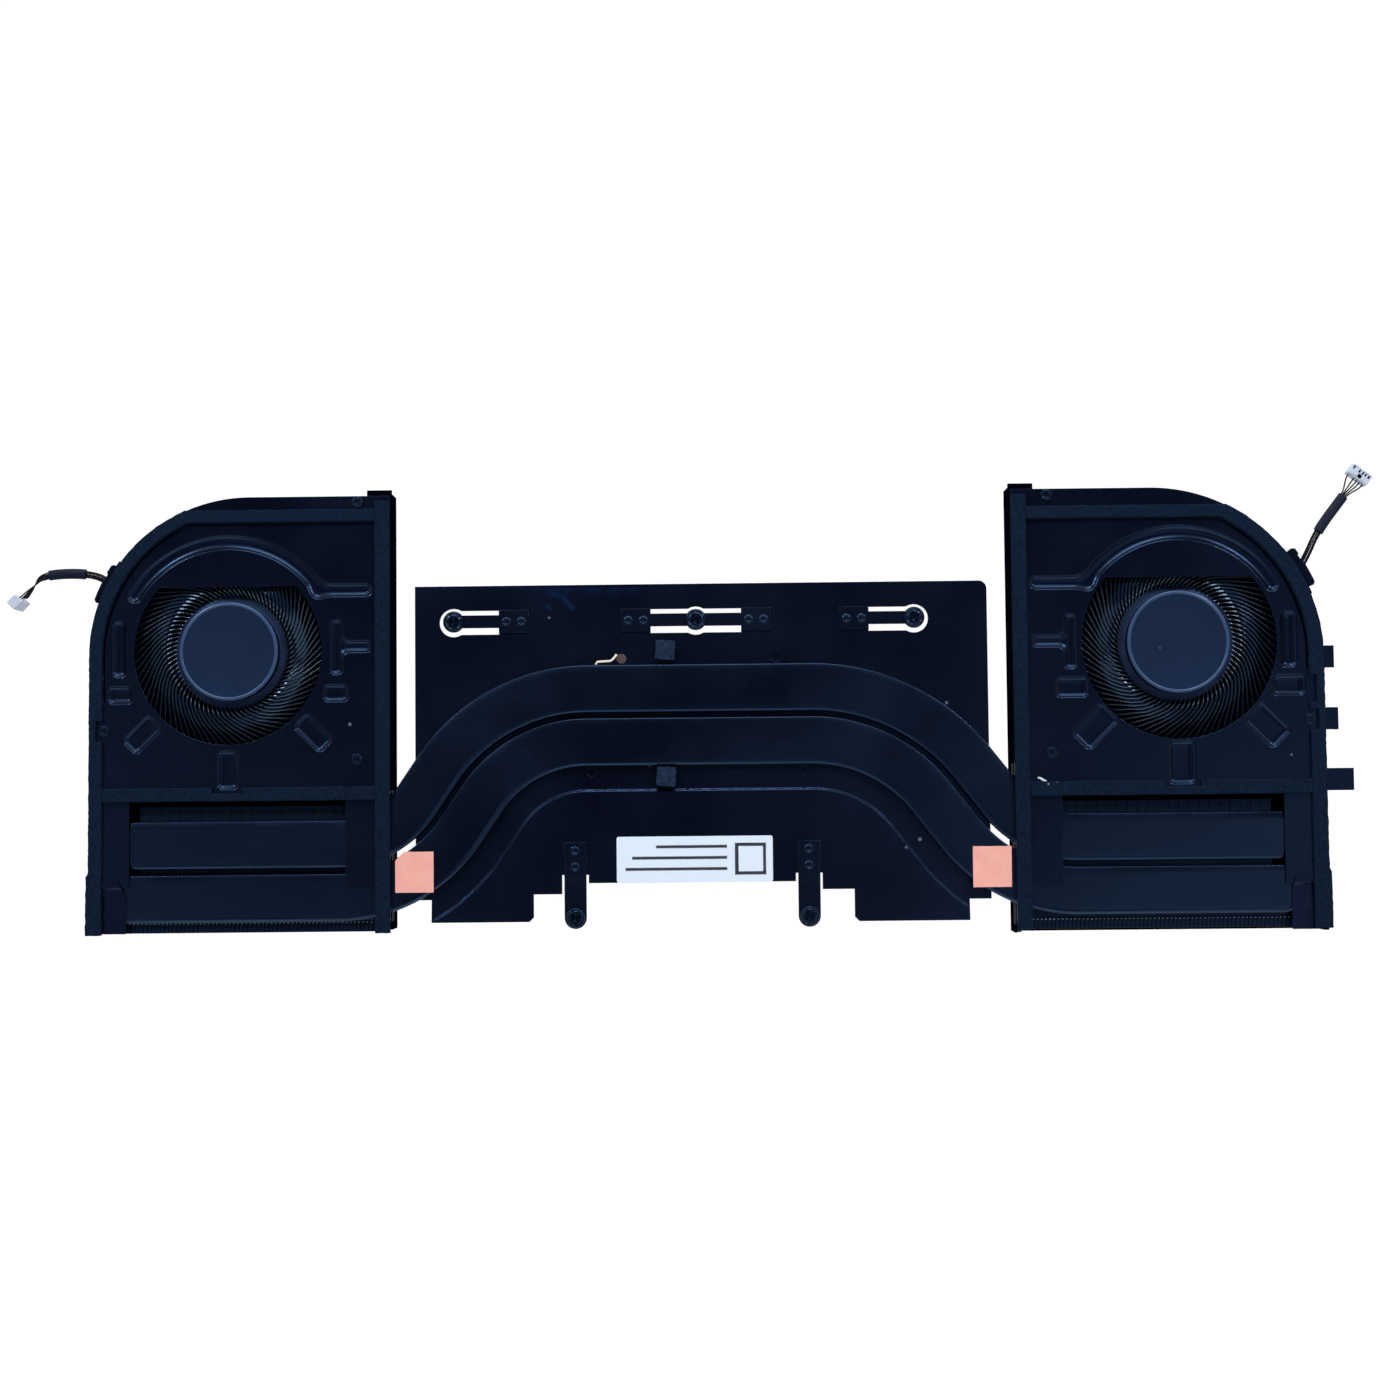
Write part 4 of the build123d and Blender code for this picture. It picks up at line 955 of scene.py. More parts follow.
def wheel_tree():
    """Copies of the incoming mesh turned round the axis that is given."""
    tree, source, outside = node_tree("ring_of_blades", [
        ("Count", "NodeSocketInt"), ("Axis", "NodeSocketVector"), ("Material", "NodeSocketMaterial")])
    line = add_node(tree, "GeometryNodeMeshLine", {"Offset": (0, 0, 0)})
    index = add_node(tree, "GeometryNodeInputIndex")
    step = add_node(tree, "ShaderNodeMath", {0: 2 * math.pi}, operation="DIVIDE")
    turn = add_node(tree, "ShaderNodeMath", operation="MULTIPLY")
    euler = add_node(tree, "ShaderNodeCombineXYZ")
    copy = add_node(tree, "GeometryNodeInstanceOnPoints")
    move = add_node(tree, "GeometryNodeTransform")
    connect(tree, (source, "Count", line, "Count"), (source, "Count", step, 1), (index, 0, turn, 0),
            (step, 0, turn, 1), (turn, 0, euler, "Z"), (line, "Mesh", copy, "Points"),
            (source, "Geometry", copy, "Instance"), (euler, 0, copy, "Rotation"),
            (copy, "Instances", move, "Geometry"), (source, "Axis", move, "Translation"))
    close_tree(tree, move, "Geometry", source, outside)
    return tree


WHEEL = wheel_tree()
print("tree:", WHEEL.name)

# %% One blade
BLADE_COUNT = 79
BLADE_LOW, BLADE_TOP, RING_TOP, HUB_TOP = 1.4, 6.6, 4.4, 7.4
BLADE_HALF = 0.15
# Radius and angle along a blade
SWEEP = ((15.0, -1.0), (15.9, 0.8), (16.6, 2.6), (17.4, 5.0), (18.4, 8.4), (20.2, 15.2), (22.0, 21.6),
         (23.8, 26.8), (25.6, 30.8), (27.0, 33.6), (28.2, 35.6))
# How much painted highlight each point of the section gets: most along the blade's top edge
TOP_HIGHLIGHT = (0.0, 0.0, 1.0, 1.0, 0.6, 0.5, 0.0, 0.0, 0.0)
INNER_FACET, OUTER_FACET = math.tan(math.radians(23)), math.tan(math.radians(32))


def blade_mesh(b):
    """A thin curved wall that climbs from the ring to its full height, with two slanted facets along its
    top. They are widest on the inner half. Where they face a lamp, a row of blades flashes."""
    scale = b.tip / SWEEP[-1][0]
    line = []
    for r, turn in SWEEP:
        r, angle = r * scale, math.radians(-b.side * turn)
        line.append((r * math.cos(angle), r * math.sin(angle), r))
    line = np.array(line)
    rows, t = [], BLADE_HALF
    for i, (x, y, r_here) in enumerate(line):
        run = line[min(i + 1, len(line) - 1), :2] - line[max(i - 1, 0), :2]
        run /= np.linalg.norm(run)
        across = np.array([-run[1], run[0]])
        climb = ease(np.array([(r_here - b.ring + 0.4) / 2.0]))[0]
        top = RING_TOP + 0.1 + (BLADE_TOP - RING_TOP - 0.1) * climb
        wide = float(np.interp(r_here / scale, (16.9, 18.2, 20.2, 22.2), (0.0, 1.0, 1.0, 0.0)))
        inner, outer = 0.08 + 0.16 * wide, t + 0.34 * wide
        fold = top - (inner + 0.09) * INNER_FACET
        section = [(-t, BLADE_LOW), (-t, top - 0.4), (-t, top - 0.02), (-0.09, top), (inner, fold),
                   (inner + 0.04, fold - 0.02), (outer, fold - 0.02 - (outer - inner - 0.04) * OUTER_FACET),
                   (t, top - 0.8), (t, BLADE_LOW)]
        rows.append([(x + across[0] * b.side * out, y + across[1] * b.side * out, z) for out, z in section])
    mesh = lofted("blade", rows)
    # A painted highlight: the section's top points get the lighter edge colour
    lightening = mesh.attributes.new("edge", "FLOAT", "POINT")
    lightening.data.foreach_set("value", TOP_HIGHLIGHT * len(rows))
    return mesh


# %% Turned cup and ring
def turned(name, profile, steps, axis, sharp=38.0):
    """A closed profile of radius and height pairs, spun round an upright axis."""
    rows = []
    for i in range(steps):
        turn = 2 * math.pi * i / steps
        rows.append([(axis[0] + r * math.cos(turn), axis[1] + r * math.sin(turn), z) for r, z in profile])
    return lofted(name, rows, wrap=True, sharp=sharp)


def cup_profile(b):
    """From the middle of the cap's top, over the rim, down to the ring and back up inside."""
    h = b.hub
    return [(0.0, HUB_TOP - 0.14), (h - 0.95, HUB_TOP - 0.14), (h - 0.78, HUB_TOP - 0.1), (h - 0.66, HUB_TOP),
            (h - 0.3, HUB_TOP - 0.03), (h - 0.1, HUB_TOP - 0.14), (h, HUB_TOP - 0.4), (h, RING_TOP + 0.5),
            (h + 0.12, RING_TOP + 0.18), (h + 0.45, RING_TOP), (b.ring - 0.3, RING_TOP - 0.05),
            (b.ring, RING_TOP - 0.3), (b.ring, BLADE_LOW), (h - 0.8, BLADE_LOW), (h - 0.8, 6.7), (2.2, 6.7),
            (2.2, 5.7), (1.02, 5.7), (1.02, 7.1), (0.0, 7.1)]


for b in BLOWERS:
    body = f"{b.name}_impeller"
    axis = Vector((b.x, b.y, 0)) * MM
    blades = painted(grown(f"{b.name}_blades", blade_mesh(b), WHEEL, {
        "Count": BLADE_COUNT, "Axis": axis, "Material": finishes["blade"]}), 0)
    cup = turned(f"{b.name}_cup", cup_profile(b), 96, (b.x, b.y))
    for polygon in cup.polygons:
        r, z = (polygon.center.xy - axis.xy).length / MM, polygon.center.z / MM
        # Faces of the cup's top near its edge take the rim colour, a painted highlight
        if z > HUB_TOP - 0.45 and r < b.hub:
            polygon.material_index = 1 if r < b.hub - 0.9 else 2
        elif r > b.hub and z > RING_TOP - 0.2:
            polygon.material_index = 3
    wheel = joined(f"{b.name}_wheel", [blades, cup])
    add_piece(f"{b.name}_wheel", wheel, ["blade", "hub", "rim", "ring"], body=body,
              stands_for=[body])

# %% [markdown]
# ## The pressed plate
# The plate between the blowers is flat under the pipes and steps up in front of them. It is one sheet
# with key-shaped slots under the spring arms. Dark discs in its locating holes are painted shade, and a dark
# copper disc is painted shade on copper seen through a hole. Beside it lies a bead of bare metal, its bright
# colour a painted glint. The step follows the pipes, so its line is drawn by the same route.

# %% Routes beside the pipes
mid_low, mid_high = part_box("middle_spring_arm")
MID = np.array([(mid_low.x + mid_high.x) / 2 / MM, left_blower.y])
PIPE_W, PIPE_PITCH, PIPE_Y, BAY_Y = 13.0, 14.4, -11.2, -52.5


def rounded_line(corners, radii, step=1.2):
    """A line of points through corners that are rounded off with arcs."""
    corners = [np.array(c, float) for c in corners]
    line = [corners[0]]
    for a, c, b, r in zip(corners, corners[1:], corners[2:], radii):
        into, out = (c - a) / np.linalg.norm(c - a), (b - c) / np.linalg.norm(b - c)
        turn = math.atan2(into[0] * out[1] - into[1] * out[0], into @ out)
        start = c - into * r * math.tan(abs(turn) / 2)
        side = np.array([-into[1], into[0]]) * math.copysign(1, turn)
        centre = start + side * r
        steps = max(4, int(r * abs(turn) / step))
        for k in range(steps + 1):
            t = turn * k / steps
            arm = -side * r
            line.append(centre + np.array([arm[0] * math.cos(t) - arm[1] * math.sin(t),
                                           arm[0] * math.sin(t) + arm[1] * math.cos(t)]))
    line.append(corners[-1])
    return np.array(line)


def route(shift, extra=0.0):
    """A line beside the upper pipe's centre, shifted towards the front, from left to right."""
    left_end = left_blower.x - left_blower.window - MID[0] - extra
    right_end = right_blower.x + right_blower.window - MID[0] + extra
    top, bay = PIPE_Y - shift, BAY_Y - shift
    left_turn, right_turn = math.radians(56.0), math.radians(52.0)
    left_top = -55.8 + shift * math.tan(left_turn / 2)
    right_top = 57.9 - shift * math.tan(right_turn / 2)
    corners = [(left_end, bay), (left_top - (top - bay) / math.tan(left_turn), bay), (left_top, top),
               (right_top, top), (right_top + (top - bay) / math.tan(right_turn), bay), (right_end, bay)]
    return rounded_line(corners, [26.0 + shift, 48.5 - shift, 55.0 - shift, 26.0 + shift]) + MID


STEP_LINE = route(PIPE_PITCH + PIPE_W / 2 + 6.6)
print("step line points:", len(STEP_LINE))

# %% Plate
SCREW_ROW, ARM_W, SLOT_HALF, EYE_R, ARM_REACH = 7.5, 3.5, 3.25, 3.87, 12.3
SLOT_SHIFT = -0.25
LEFT_SCREW, RIGHT_SCREW = -65.9, 59.3
LOW_ARMS, LOW_HALF = (-33.2, 30.0), 3.6
PLATE_FRONT, NOTCH_DEPTH = -63.7, 2.25
NOTCH = PLATE_FRONT + NOTCH_DEPTH


def plate_outline():
    """Round the plate from its back left corner."""
    left, right = LOW_ARMS
    corner = arc_points((79.2 - 2.2, 17.4 - 2.2), 2.2, 0, 90, 8)
    return np.array([
        (-76.5, 17.3), (-76.5, -67.9), (-72.2, -67.9), (-72.2, -74.0), (-45.7, -74.0), (-44.5, -72.8),
        (-44.5, -66.6), (left - LOW_HALF, -66.6), (left - LOW_HALF, NOTCH), (left + LOW_HALF, NOTCH),
        (left + LOW_HALF, PLATE_FRONT), (right - LOW_HALF, PLATE_FRONT), (right - LOW_HALF, NOTCH),
        (right + LOW_HALF, NOTCH), (right + LOW_HALF, -65.9), (42.2, -65.9), (42.2, -73.4), (43.4, -74.6),
        (73.3, -74.6), (73.3, -68.9), (79.2, -68.9), *corner]) + MID


def eye_outline(x, row, r, half, sides, arm, steps):
    """A round eye with an arm on one or both sides. arm gives the points of the arm on a side."""
    reach = math.degrees(math.asin(half / r))
    loop = []
    for side, facing in ((1, 0), (-1, 180)):
        if side in sides:
            loop += arm(side)
        else:
            loop += arc_points((x, row), r, facing - reach, facing + reach, steps[0])
        loop += arc_points((x, row), r, facing + reach, facing + 180 - reach, steps[1])
    return np.array(loop) + MID


def key_slot(x, sides):
    """A round hole with a straight slot on one or both sides."""
    row, half = SCREW_ROW + SLOT_SHIFT, SLOT_HALF

    def slot(side):
        return [(x + side * ARM_REACH, row - side * half), (x + side * ARM_REACH, row + side * half)]

    return eye_outline(x, row, EYE_R, half, sides, slot, (14, 4))


def round_hole(x, y, r, steps=20):
    """A circle on the plate."""
    return np.array(arc_points((x, y), r, 0, 360 - 360 / steps, steps - 1)) + MID


LOCATING = ((21.6, -3.0), (-28.6, -33.7), (28.6, -33.7))
COPPER_DISC, COPPER_DISC_R = (-20.3, -3.0), 1.35
SOLDER = np.array([(-27.3, -4.5), (-26.9, -3.75), (-23.3, -3.55), (-22.5, -2.95), (-21.6, -1.75)])


def thick_line(line, width):
    """An outline round a line of points."""
    run = np.gradient(line, axis=0)
    side = np.column_stack([-run[:, 1], run[:, 0]]) / np.linalg.norm(run, axis=1)[:, None] * width / 2
    return np.concatenate([line + side, (line - side)[::-1]])


# Distances from the step's line, each with the pitch of its points
STEP_LEVELS = ((0.5, 0.7), (0.3, 0.5), (0.15, 0.45), (0.0, 0.45), (-0.15, 0.45), (-0.3, 0.5), (-0.5, 0.7))
# Start, end and width of each rubbed stroke
STROKES = (((-38.6, 14.9), (-35.6, 13.2), 0.55), ((-36.2, 13.6), (-33.4, 11.0), 0.5),
           ((-40.5, 11.6), (-39.6, 10.9), 0.4))


def plate_mesh():
    """The stepped sheet with its slots and holes."""
    outline = plate_outline()
    holes = [key_slot(LEFT_SCREW, (1,)), key_slot(0.0, (1, -1)), key_slot(RIGHT_SCREW, (-1,))]
    holes += [round_hole(x, y, 1.2) for x, y in LOCATING]
    low, high = outline.min(axis=0), outline.max(axis=0)
    fine = on_contours(lambda p: line_distance(p, STEP_LINE), low, high, STEP_LEVELS)
    coarse = grid(low, high, 4.0)
    coarse = coarse[np.abs(line_distance(coarse, STEP_LINE)) > 2.2]
    marked = grid(MID + (-50, 8), MID + (-4, 17), 0.7)

    def height(p):
        step = STEP_H * ease((0.3 - line_distance(p, STEP_LINE)) / 0.6)
        return PLATE_TOP + step + ripple(p, 3, 60.0, 0.03)

    return pressed("plate", [outline, *holes], height, thickness=PLATE_T, lip=0.14,
                   extra=np.concatenate([fine, coarse, marked]))


def scuffs(p):
    """How much the black is rubbed blue: a haze along the back edge and short strokes in front of it."""
    p = p - MID
    patchy = 0.6 + ripple(p, 31, 3.5, 0.9)
    haze = np.exp(-np.abs(16.9 - p[:, 1]) / 1.3) * ease((p[:, 0] + 49) / 12)
    haze = haze * ease((-6 - p[:, 0]) / 16) * 0.75
    strokes = np.zeros(len(p))
    for start, end, width in STROKES:
        away = line_distance(p, np.array([start, end]))
        strokes = np.maximum(strokes, np.exp(-(away / width) ** 2))
    return np.clip((haze + strokes) * patchy, 0, 1)


# A dark copper disc at the plate's top: painted shade for copper seen in shadow through a hole
stud = pressed("stud", [round_hole(*COPPER_DISC, COPPER_DISC_R)], level(PLATE_TOP + 0.06), floor=PLATE_TOP - 0.3, lip=0.05)
# A bead of bare metal whose bright cream colour is a painted glint
bead = pressed("bead", [thick_line(SOLDER, 0.62) + MID], level(PLATE_TOP + 0.12), floor=PLATE_TOP - 0.3,
               lip=0.1)
# Discs in the plate's black, just below its top, close the locating holes: painted shade in the holes
locating_shade_discs = [pressed("locating", [round_hole(x, y, 1.25)], level(PLATE_TOP - 0.35), floor=PLATE_TOP - 0.7,
                 lip=0.06) for x, y in LOCATING]
mesh = joined("plate", [plate_mesh(), painted(stud, 1), painted(bead, 2), *locating_shade_discs])
lightening = mesh.attributes.new("edge", "FLOAT", "POINT")
lightening.data.foreach_set("value", scuffs(np.array([v.co.xy for v in mesh.vertices]) / MM))
add_piece("pressed_plate", mesh, ["plate", "stud", "solder"], stands_for=["base_plate"])

# %% [markdown]
# ## Heat pipes
# A heat pipe is a copper tube pressed flat, so its section is a bar with round sides. A curve would do,
# but Geometry Nodes can lay a rounded section along any line of edges and keep its sizes as inputs. The
# shoulder on the back side is then made steeper than the front one, and the ends are rounded in plan.

# %% Pipes
def pipe_tree():
    """A flat tube along the incoming edges. Its round sides are squeezed, so they slope further in."""
    tree, source, outside = node_tree("flat_pipe", [
        ("Width", "NodeSocketFloat"), ("Thickness", "NodeSocketFloat"), ("Round", "NodeSocketFloat"),
        ("Material", "NodeSocketMaterial")])
    path = add_node(tree, "GeometryNodeMeshToCurve")
    upright = add_node(tree, "GeometryNodeSetCurveNormal", mode="Z_UP")
    section = add_node(tree, "GeometryNodeCurvePrimitiveQuadrilateral")
    rounded = add_node(tree, "GeometryNodeFilletCurve", {"Count": 8}, mode="POLY")
    twice = add_node(tree, "ShaderNodeMath", {1: 2.0}, operation="MULTIPLY")
    ratio = add_node(tree, "ShaderNodeMath", operation="DIVIDE")
    squeeze = add_node(tree, "ShaderNodeCombineXYZ", {"X": 1.0, "Z": 1.0})
    flatten = add_node(tree, "GeometryNodeTransform")
    sweep = add_node(tree, "GeometryNodeCurveToMesh", {"Fill Caps": True})
    connect(tree, (source, "Geometry", path, "Mesh"), (path, "Curve", upright, "Curve"),
            (source, "Width", section, "Width"), (source, "Round", twice, 0), (twice, 0, section, "Height"),
            (section, "Curve", rounded, "Curve"), (source, "Round", rounded, "Radius"),
            (source, "Thickness", ratio, 0), (twice, 0, ratio, 1), (ratio, 0, squeeze, "Y"),
            (rounded, "Curve", flatten, "Geometry"), (squeeze, 0, flatten, "Scale"),
            (upright, "Curve", sweep, "Curve"), (flatten, "Geometry", sweep, "Profile Curve"))
    close_tree(tree, sweep, "Mesh", source, outside)
    return tree


def line_mesh(points):
    """A row of points joined by edges, in metres."""
    mesh = bpy.data.meshes.new("line")
    mesh.from_pydata([tuple(p) for p in points], [(i, i + 1) for i in range(len(points) - 1)], [])
    return mesh


PIPE_T, SHOULDER, STEEPNESS = 2.2, 2.3, 0.1
END_STEPS = (0.0, 0.12, 0.35, 0.75, 1.4, 2.6)
PIPE = pipe_tree()
for name, shift, extra, end_round in (("upper", 0.0, 0.0, 0.9), ("lower", PIPE_PITCH, 2.6, 2.8)):
    flat = route(shift, extra)
    (x0, y0), (x1, y1) = flat[0], flat[-1]
    flat = np.concatenate([[(x0 + d, y0) for d in END_STEPS], flat[1:-1],
                           [(x1 - d, y1) for d in END_STEPS[::-1]]])
    line = np.column_stack([flat, np.full(len(flat), PLATE_TOP + PIPE_T / 2)]) * MM
    mesh = grown(f"{name}_pipe", line_mesh(line), PIPE, {
        "Width": PIPE_W * MM, "Thickness": PIPE_T * MM, "Round": SHOULDER * MM, "Material": finishes["pipe"]})
    plan = np.array([v.co.xy for v in mesh.vertices]) / MM
    side = line_distance(plan, flat)
    slope = np.column_stack([line_distance(plan + step, flat) - side for step in ((0.01, 0), (0, 0.01))])
    shoulder = np.maximum(side - PIPE_W / 2 + SHOULDER, 0)
    moved = (SHOULDER * (shoulder / SHOULDER) ** STEEPNESS - shoulder) * (side > 0)
    moved[shoulder <= 0] = 0
    plan += slope / np.maximum(np.linalg.norm(slope, axis=1), 1e-9)[:, None] * moved[:, None]
    for point, (x, y) in zip(mesh.vertices, plan):
        point.co.xy = Vector((x, y)) * MM
    for point in mesh.vertices:
        for x, y, inwards in ((x0, y0, 1), (x1, y1, -1)):
            from_end = (point.co.x / MM - x) * inwards
            if from_end < end_round:
                share = math.sqrt(1 - (1 - from_end / end_round) ** 2) if from_end > 0 else 0.0
                narrow = 1 - 2 * end_round * (1 - share) / PIPE_W
                point.co.y = (y + (point.co.y / MM - y) * narrow) * MM
    mesh.shade_smooth()
    mesh.set_sharp_from_angle(angle=math.radians(50))
    add_piece(f"{name}_flat_pipe", mesh, ["pipe"], stands_for=[f"{name}_heat_pipe"])

# %% [markdown]
# ## Fin stacks
# A fin is a thin sheet folded over at its top and bottom. The folds of neighbouring fins meet and make
# the flat top that the pipes lie on. At the front the folds are cut back into fingers, and each has a
# small square window. One fin of a few dozen faces is made and Geometry Nodes sets out the row.

# %% Fins
FIN_PITCH, FIN_T, FIN_LOW, FIN_TOP, FIN_GAP = 1.13, 0.16, 0.6, 5.3, 0.06
PLATE_PITCH = 2.77
# A few short fins go on past the window, under the tape
SHORT_FINS, SHORT_FIN_L = 5, 7.5


def row_tree():
    """Copies of the incoming mesh, one step apart."""
    tree, source, outside = node_tree("row_of_copies", [
        ("Count", "NodeSocketInt"), ("Step", "NodeSocketVector"), ("Material", "NodeSocketMaterial")])
    line = add_node(tree, "GeometryNodeMeshLine")
    copy = add_node(tree, "GeometryNodeInstanceOnPoints")
    connect(tree, (source, "Count", line, "Count"), (source, "Step", line, "Offset"),
            (line, "Mesh", copy, "Points"), (source, "Geometry", copy, "Instance"))
    close_tree(tree, copy, "Instances", source, outside)
    return tree


def fin_section(reach):
    """The folded sheet's section: across the row, and up."""
    low, top, t = FIN_LOW, FIN_TOP, FIN_T
    full = FIN_PITCH - FIN_GAP
    return [(0, low), (full, low), (full, low + t), (t, low + t), (t, top - t), (reach, top - t),
            (reach, top), (0, top)]


def fin_mesh(x, back, front):
    """One fin from back to front, with fingers and a window along its top fold."""
    full, finger, window = FIN_PITCH - FIN_GAP, FIN_PITCH - 0.2, 0.4
    stations = [(back, full), (front + 3.0, full), (front + 3.0, window), (front + 2.4, window),
                (front + 2.4, finger), (front, finger)]
    return lofted("fin", [[(x + u, y, z) for u, z in fin_section(reach)] for y, reach in stations])


def flat_block(name, low, high, top, floor, lip=0.06):
    """A small upright block between two corners."""
    loop = [low, (high[0], low[1]), high, (low[0], high[1])]
    return pressed(name, [loop], level(top), floor=floor, lip=lip)


def rear_plate(x, back):
    """The joined top folds at the back show as wider plates with thin seams."""
    return flat_block("rear_plate", (x + 0.1, back - 5.6), (x + PLATE_PITCH - 0.1, back),
                      FIN_TOP + 0.14, FIN_TOP - 0.02)


def burr(x, front):
    """A small lighter block at each window's front edge: a painted glint where the punched edge catches the
    light.
    """
    return flat_block("burr", (x + 0.5, front + 2.35), (x + 0.95, front + 2.7), FIN_TOP + 0.08, FIN_TOP - 0.1)


def front_rail(x0, x1, front):
    """A thin rail that closes the fins' front."""
    return flat_block("rail", (x0, front - 0.05), (x1, front + 0.3), FIN_TOP - 0.1, FIN_LOW, lip=0.08)


ROW = row_tree()
for b in BLOWERS:
    ends = b.place([(2.85 - b.inner, -b.bay - b.cross[1] - 1.35), (b.window - 2.2, -b.front + 0.3 - b.reach)])
    (x0, x1), back, front = sorted(ends[:, 0]), ends[0, 1], ends[1, 1]
    start = x0 if b.side > 0 else x0 - SHORT_FINS * FIN_PITCH
    count = int((x1 - x0) / FIN_PITCH)
    every = count + SHORT_FINS
    beyond = x0 + count * FIN_PITCH if b.side > 0 else start
    rows = []
    for shape, pitch, number, how_many in (
            (fin_mesh(x0, back, front), FIN_PITCH, 0, count),
            (fin_mesh(beyond, front + SHORT_FIN_L, front), FIN_PITCH, 0, SHORT_FINS),
            (rear_plate(x0, back), PLATE_PITCH, 0, int((x1 - x0) / PLATE_PITCH)),
            (burr(start, front), FIN_PITCH, 1, every),
            (front_rail(start, start + every * FIN_PITCH, front), 1.0, 0, 1)):
        row = grown("row", shape, ROW, {"Count": how_many, "Step": Vector((pitch * MM, 0, 0)),
                                        "Material": finishes["fin"]})
        rows.append(painted(row, number))
    add_piece(f"{b.name}_fin_row", joined(f"{b.name}_fins", rows), ["fin", "burr"],
              stands_for=[f"{b.name}_fin_stack"])

# %% [markdown]
# ## Spring arms
# Five spring arms press the module down on its chips. The upper ones lie in the plate's slots, the lower
# ones reach out over its front edge and are bent down. Each is held by two clinched dimples: a small
# crater with a raised rim, which is the only thing on the arm that catches the light.

# %% Arms
ARM_TOP, ARM_T, ARM_EYE = 5.7, 0.4, 2.9
ARM_PAD = (8.1, 6.2)


def dimpled(p, centres):
    """Height of a row of clinched dimples over the flat."""
    z = np.zeros(len(p))
    for centre in centres:
        r = np.linalg.norm(p - (np.asarray(centre) + MID), axis=1)
        z += 0.2 * np.exp(-(((r - 0.9) / 0.22) ** 2)) - 0.3 * ease((0.72 - r) / 0.4)
    return z


def dimple_points(centres):
    """A fine net of points over each dimple."""
    disc = grid((-1.7, -1.7), (1.7, 1.7), 0.14)
    disc = disc[np.linalg.norm(disc, axis=1) < 1.6]
    return np.concatenate([disc + np.asarray(c) + MID for c in centres])


def upper_arm(x, sides):
    """An eye round the screw, a strip and a pad, on one or both sides."""
    row, half = SCREW_ROW, ARM_W / 2

    def strip(side):
        end, pad = x + side * ARM_REACH, x + side * (ARM_REACH + ARM_PAD[0])
        up = side * ARM_PAD[1] / 2
        return [(end, row - side * half), (end, row - up), (pad, row - up), (pad, row + up),
                (end, row + up), (end, row + side * half)]

    return eye_outline(x, row, ARM_EYE, half, sides, strip, (8, 20))


def upper_arm_mesh(name, x, sides):
    """The arm with two dimples on each pad."""
    centres = [(x + side * (ARM_REACH + ARM_PAD[0] / 2 + d), SCREW_ROW - 0.1)
               for side in sides for d in (-2.05, 2.05)]
    return pressed(name, [upper_arm(x, sides)], lambda p: ARM_TOP + dimpled(p, centres),
                   floor=ARM_TOP - ARM_T, lip=0.1, extra=dimple_points(centres))


for name, x, sides in (("left", LEFT_SCREW, (1,)), ("middle", 0.0, (1, -1)), ("right", RIGHT_SCREW, (-1,))):
    add_piece(f"{name}_upper_arm", upper_arm_mesh(name, x, sides), ["spring"],
              stands_for=[f"{name}_spring_arm"])

LOW_W, LOW_PAD_BACK, LOW_SCREW, LOW_TOP, LOW_DROP = 6.0, -52.65, -73.0, 6.3, 0.5


def lower_arm_mesh(name, x):
    """A strip with a round end, dimpled at its pad and bent down in front of the plate."""
    half = LOW_W / 2
    loop = [(x + half, LOW_PAD_BACK), (x - half, LOW_PAD_BACK)]
    loop += arc_points((x, LOW_SCREW), half, 180, 360, 24)
    centres = [(x - 0.1, -54.9), (x - 0.1, -59.3)]
    bend = grid((x - half, NOTCH - 3.0), (x + half, NOTCH + 0.6), 0.5) + MID

    def height(p):
        return LOW_TOP - LOW_DROP * ease((NOTCH - 0.2 - p[:, 1] + MID[1]) / 2.2) + dimpled(p, centres)

    return pressed(name, [np.array(loop) + MID], height, thickness=ARM_T, lip=0.12,
                   extra=np.concatenate([dimple_points(centres), bend]))


for name, x in zip(("left", "right"), LOW_ARMS):
    add_piece(f"{name}_lower_arm", lower_arm_mesh(name, x), ["spring"],
              stands_for=[f"{name}_front_arm"])

# %% [markdown]
# ## Screws
# One screw is made at the origin: a head with a ring groove and a cross recess, and a shank whose thread
# is a zigzag profile spun round. Geometry Nodes then puts a copy at each place.

# %% Screws
THREAD_PITCH = 0.5


def places_tree():
    """Copies of one object at the incoming points."""
    tree, source, outside = node_tree("copies_at_places", [
        ("Shape", "NodeSocketObject"), ("Material", "NodeSocketMaterial")])
    shape = add_node(tree, "GeometryNodeObjectInfo")
    copy = add_node(tree, "GeometryNodeInstanceOnPoints")
    connect(tree, (source, "Geometry", copy, "Points"), (source, "Shape", shape, "Object"),
            (shape, "Geometry", copy, "Instance"))
    close_tree(tree, copy, "Instances", source, outside)
    return tree


def screw_mesh(r, head, shank, length):
    """A screw that stands on the level of its head's underside."""
    def height(p):
        away = np.linalg.norm(p, axis=1)
        cross = np.minimum(box_distance(p, (0, 0), (r * 1.25, r * 0.3), 0.05, 0.5),
                           box_distance(p, (0, 0), (r * 0.3, r * 1.25), 0.05, 0.5))
        ring = np.exp(-(((away - r * 0.74) / (r * 0.06)) ** 2))
        return head - head * 0.16 * ring - head * 0.75 * ease((0.04 - cross) / (r * 0.1))

    extra = grid((-r, -r), (r, r), r * 0.075)
    top = pressed("head", [arc_points((0, 0), r, 0, 352.5, 47)], height, floor=0.0, lip=r * 0.09, extra=extra)
    profile = [(0.0, 0.02)]
    for i in range(int(length / THREAD_PITCH)):
        down = -i * THREAD_PITCH
        profile += [(shank, down), (shank * 0.82, down - THREAD_PITCH / 2)]
    profile += [(shank * 0.6, -length), (0.0, -length)]
    return joined("screw", [top, turned("shank", profile, 20, (0, 0), sharp=30.0)])


def copies(name, shape, places, material):
    """The shape at every place, as one mesh."""
    model = bpy.data.objects.new("model", shape)
    points = bpy.data.meshes.new("places")
    points.from_pydata([tuple(v * MM for v in p) for p in places], [], [])
    mesh = grown(name, points, PLACES, {"Shape": model, "Material": finishes[material]})
    bpy.data.objects.remove(model)
    return mesh


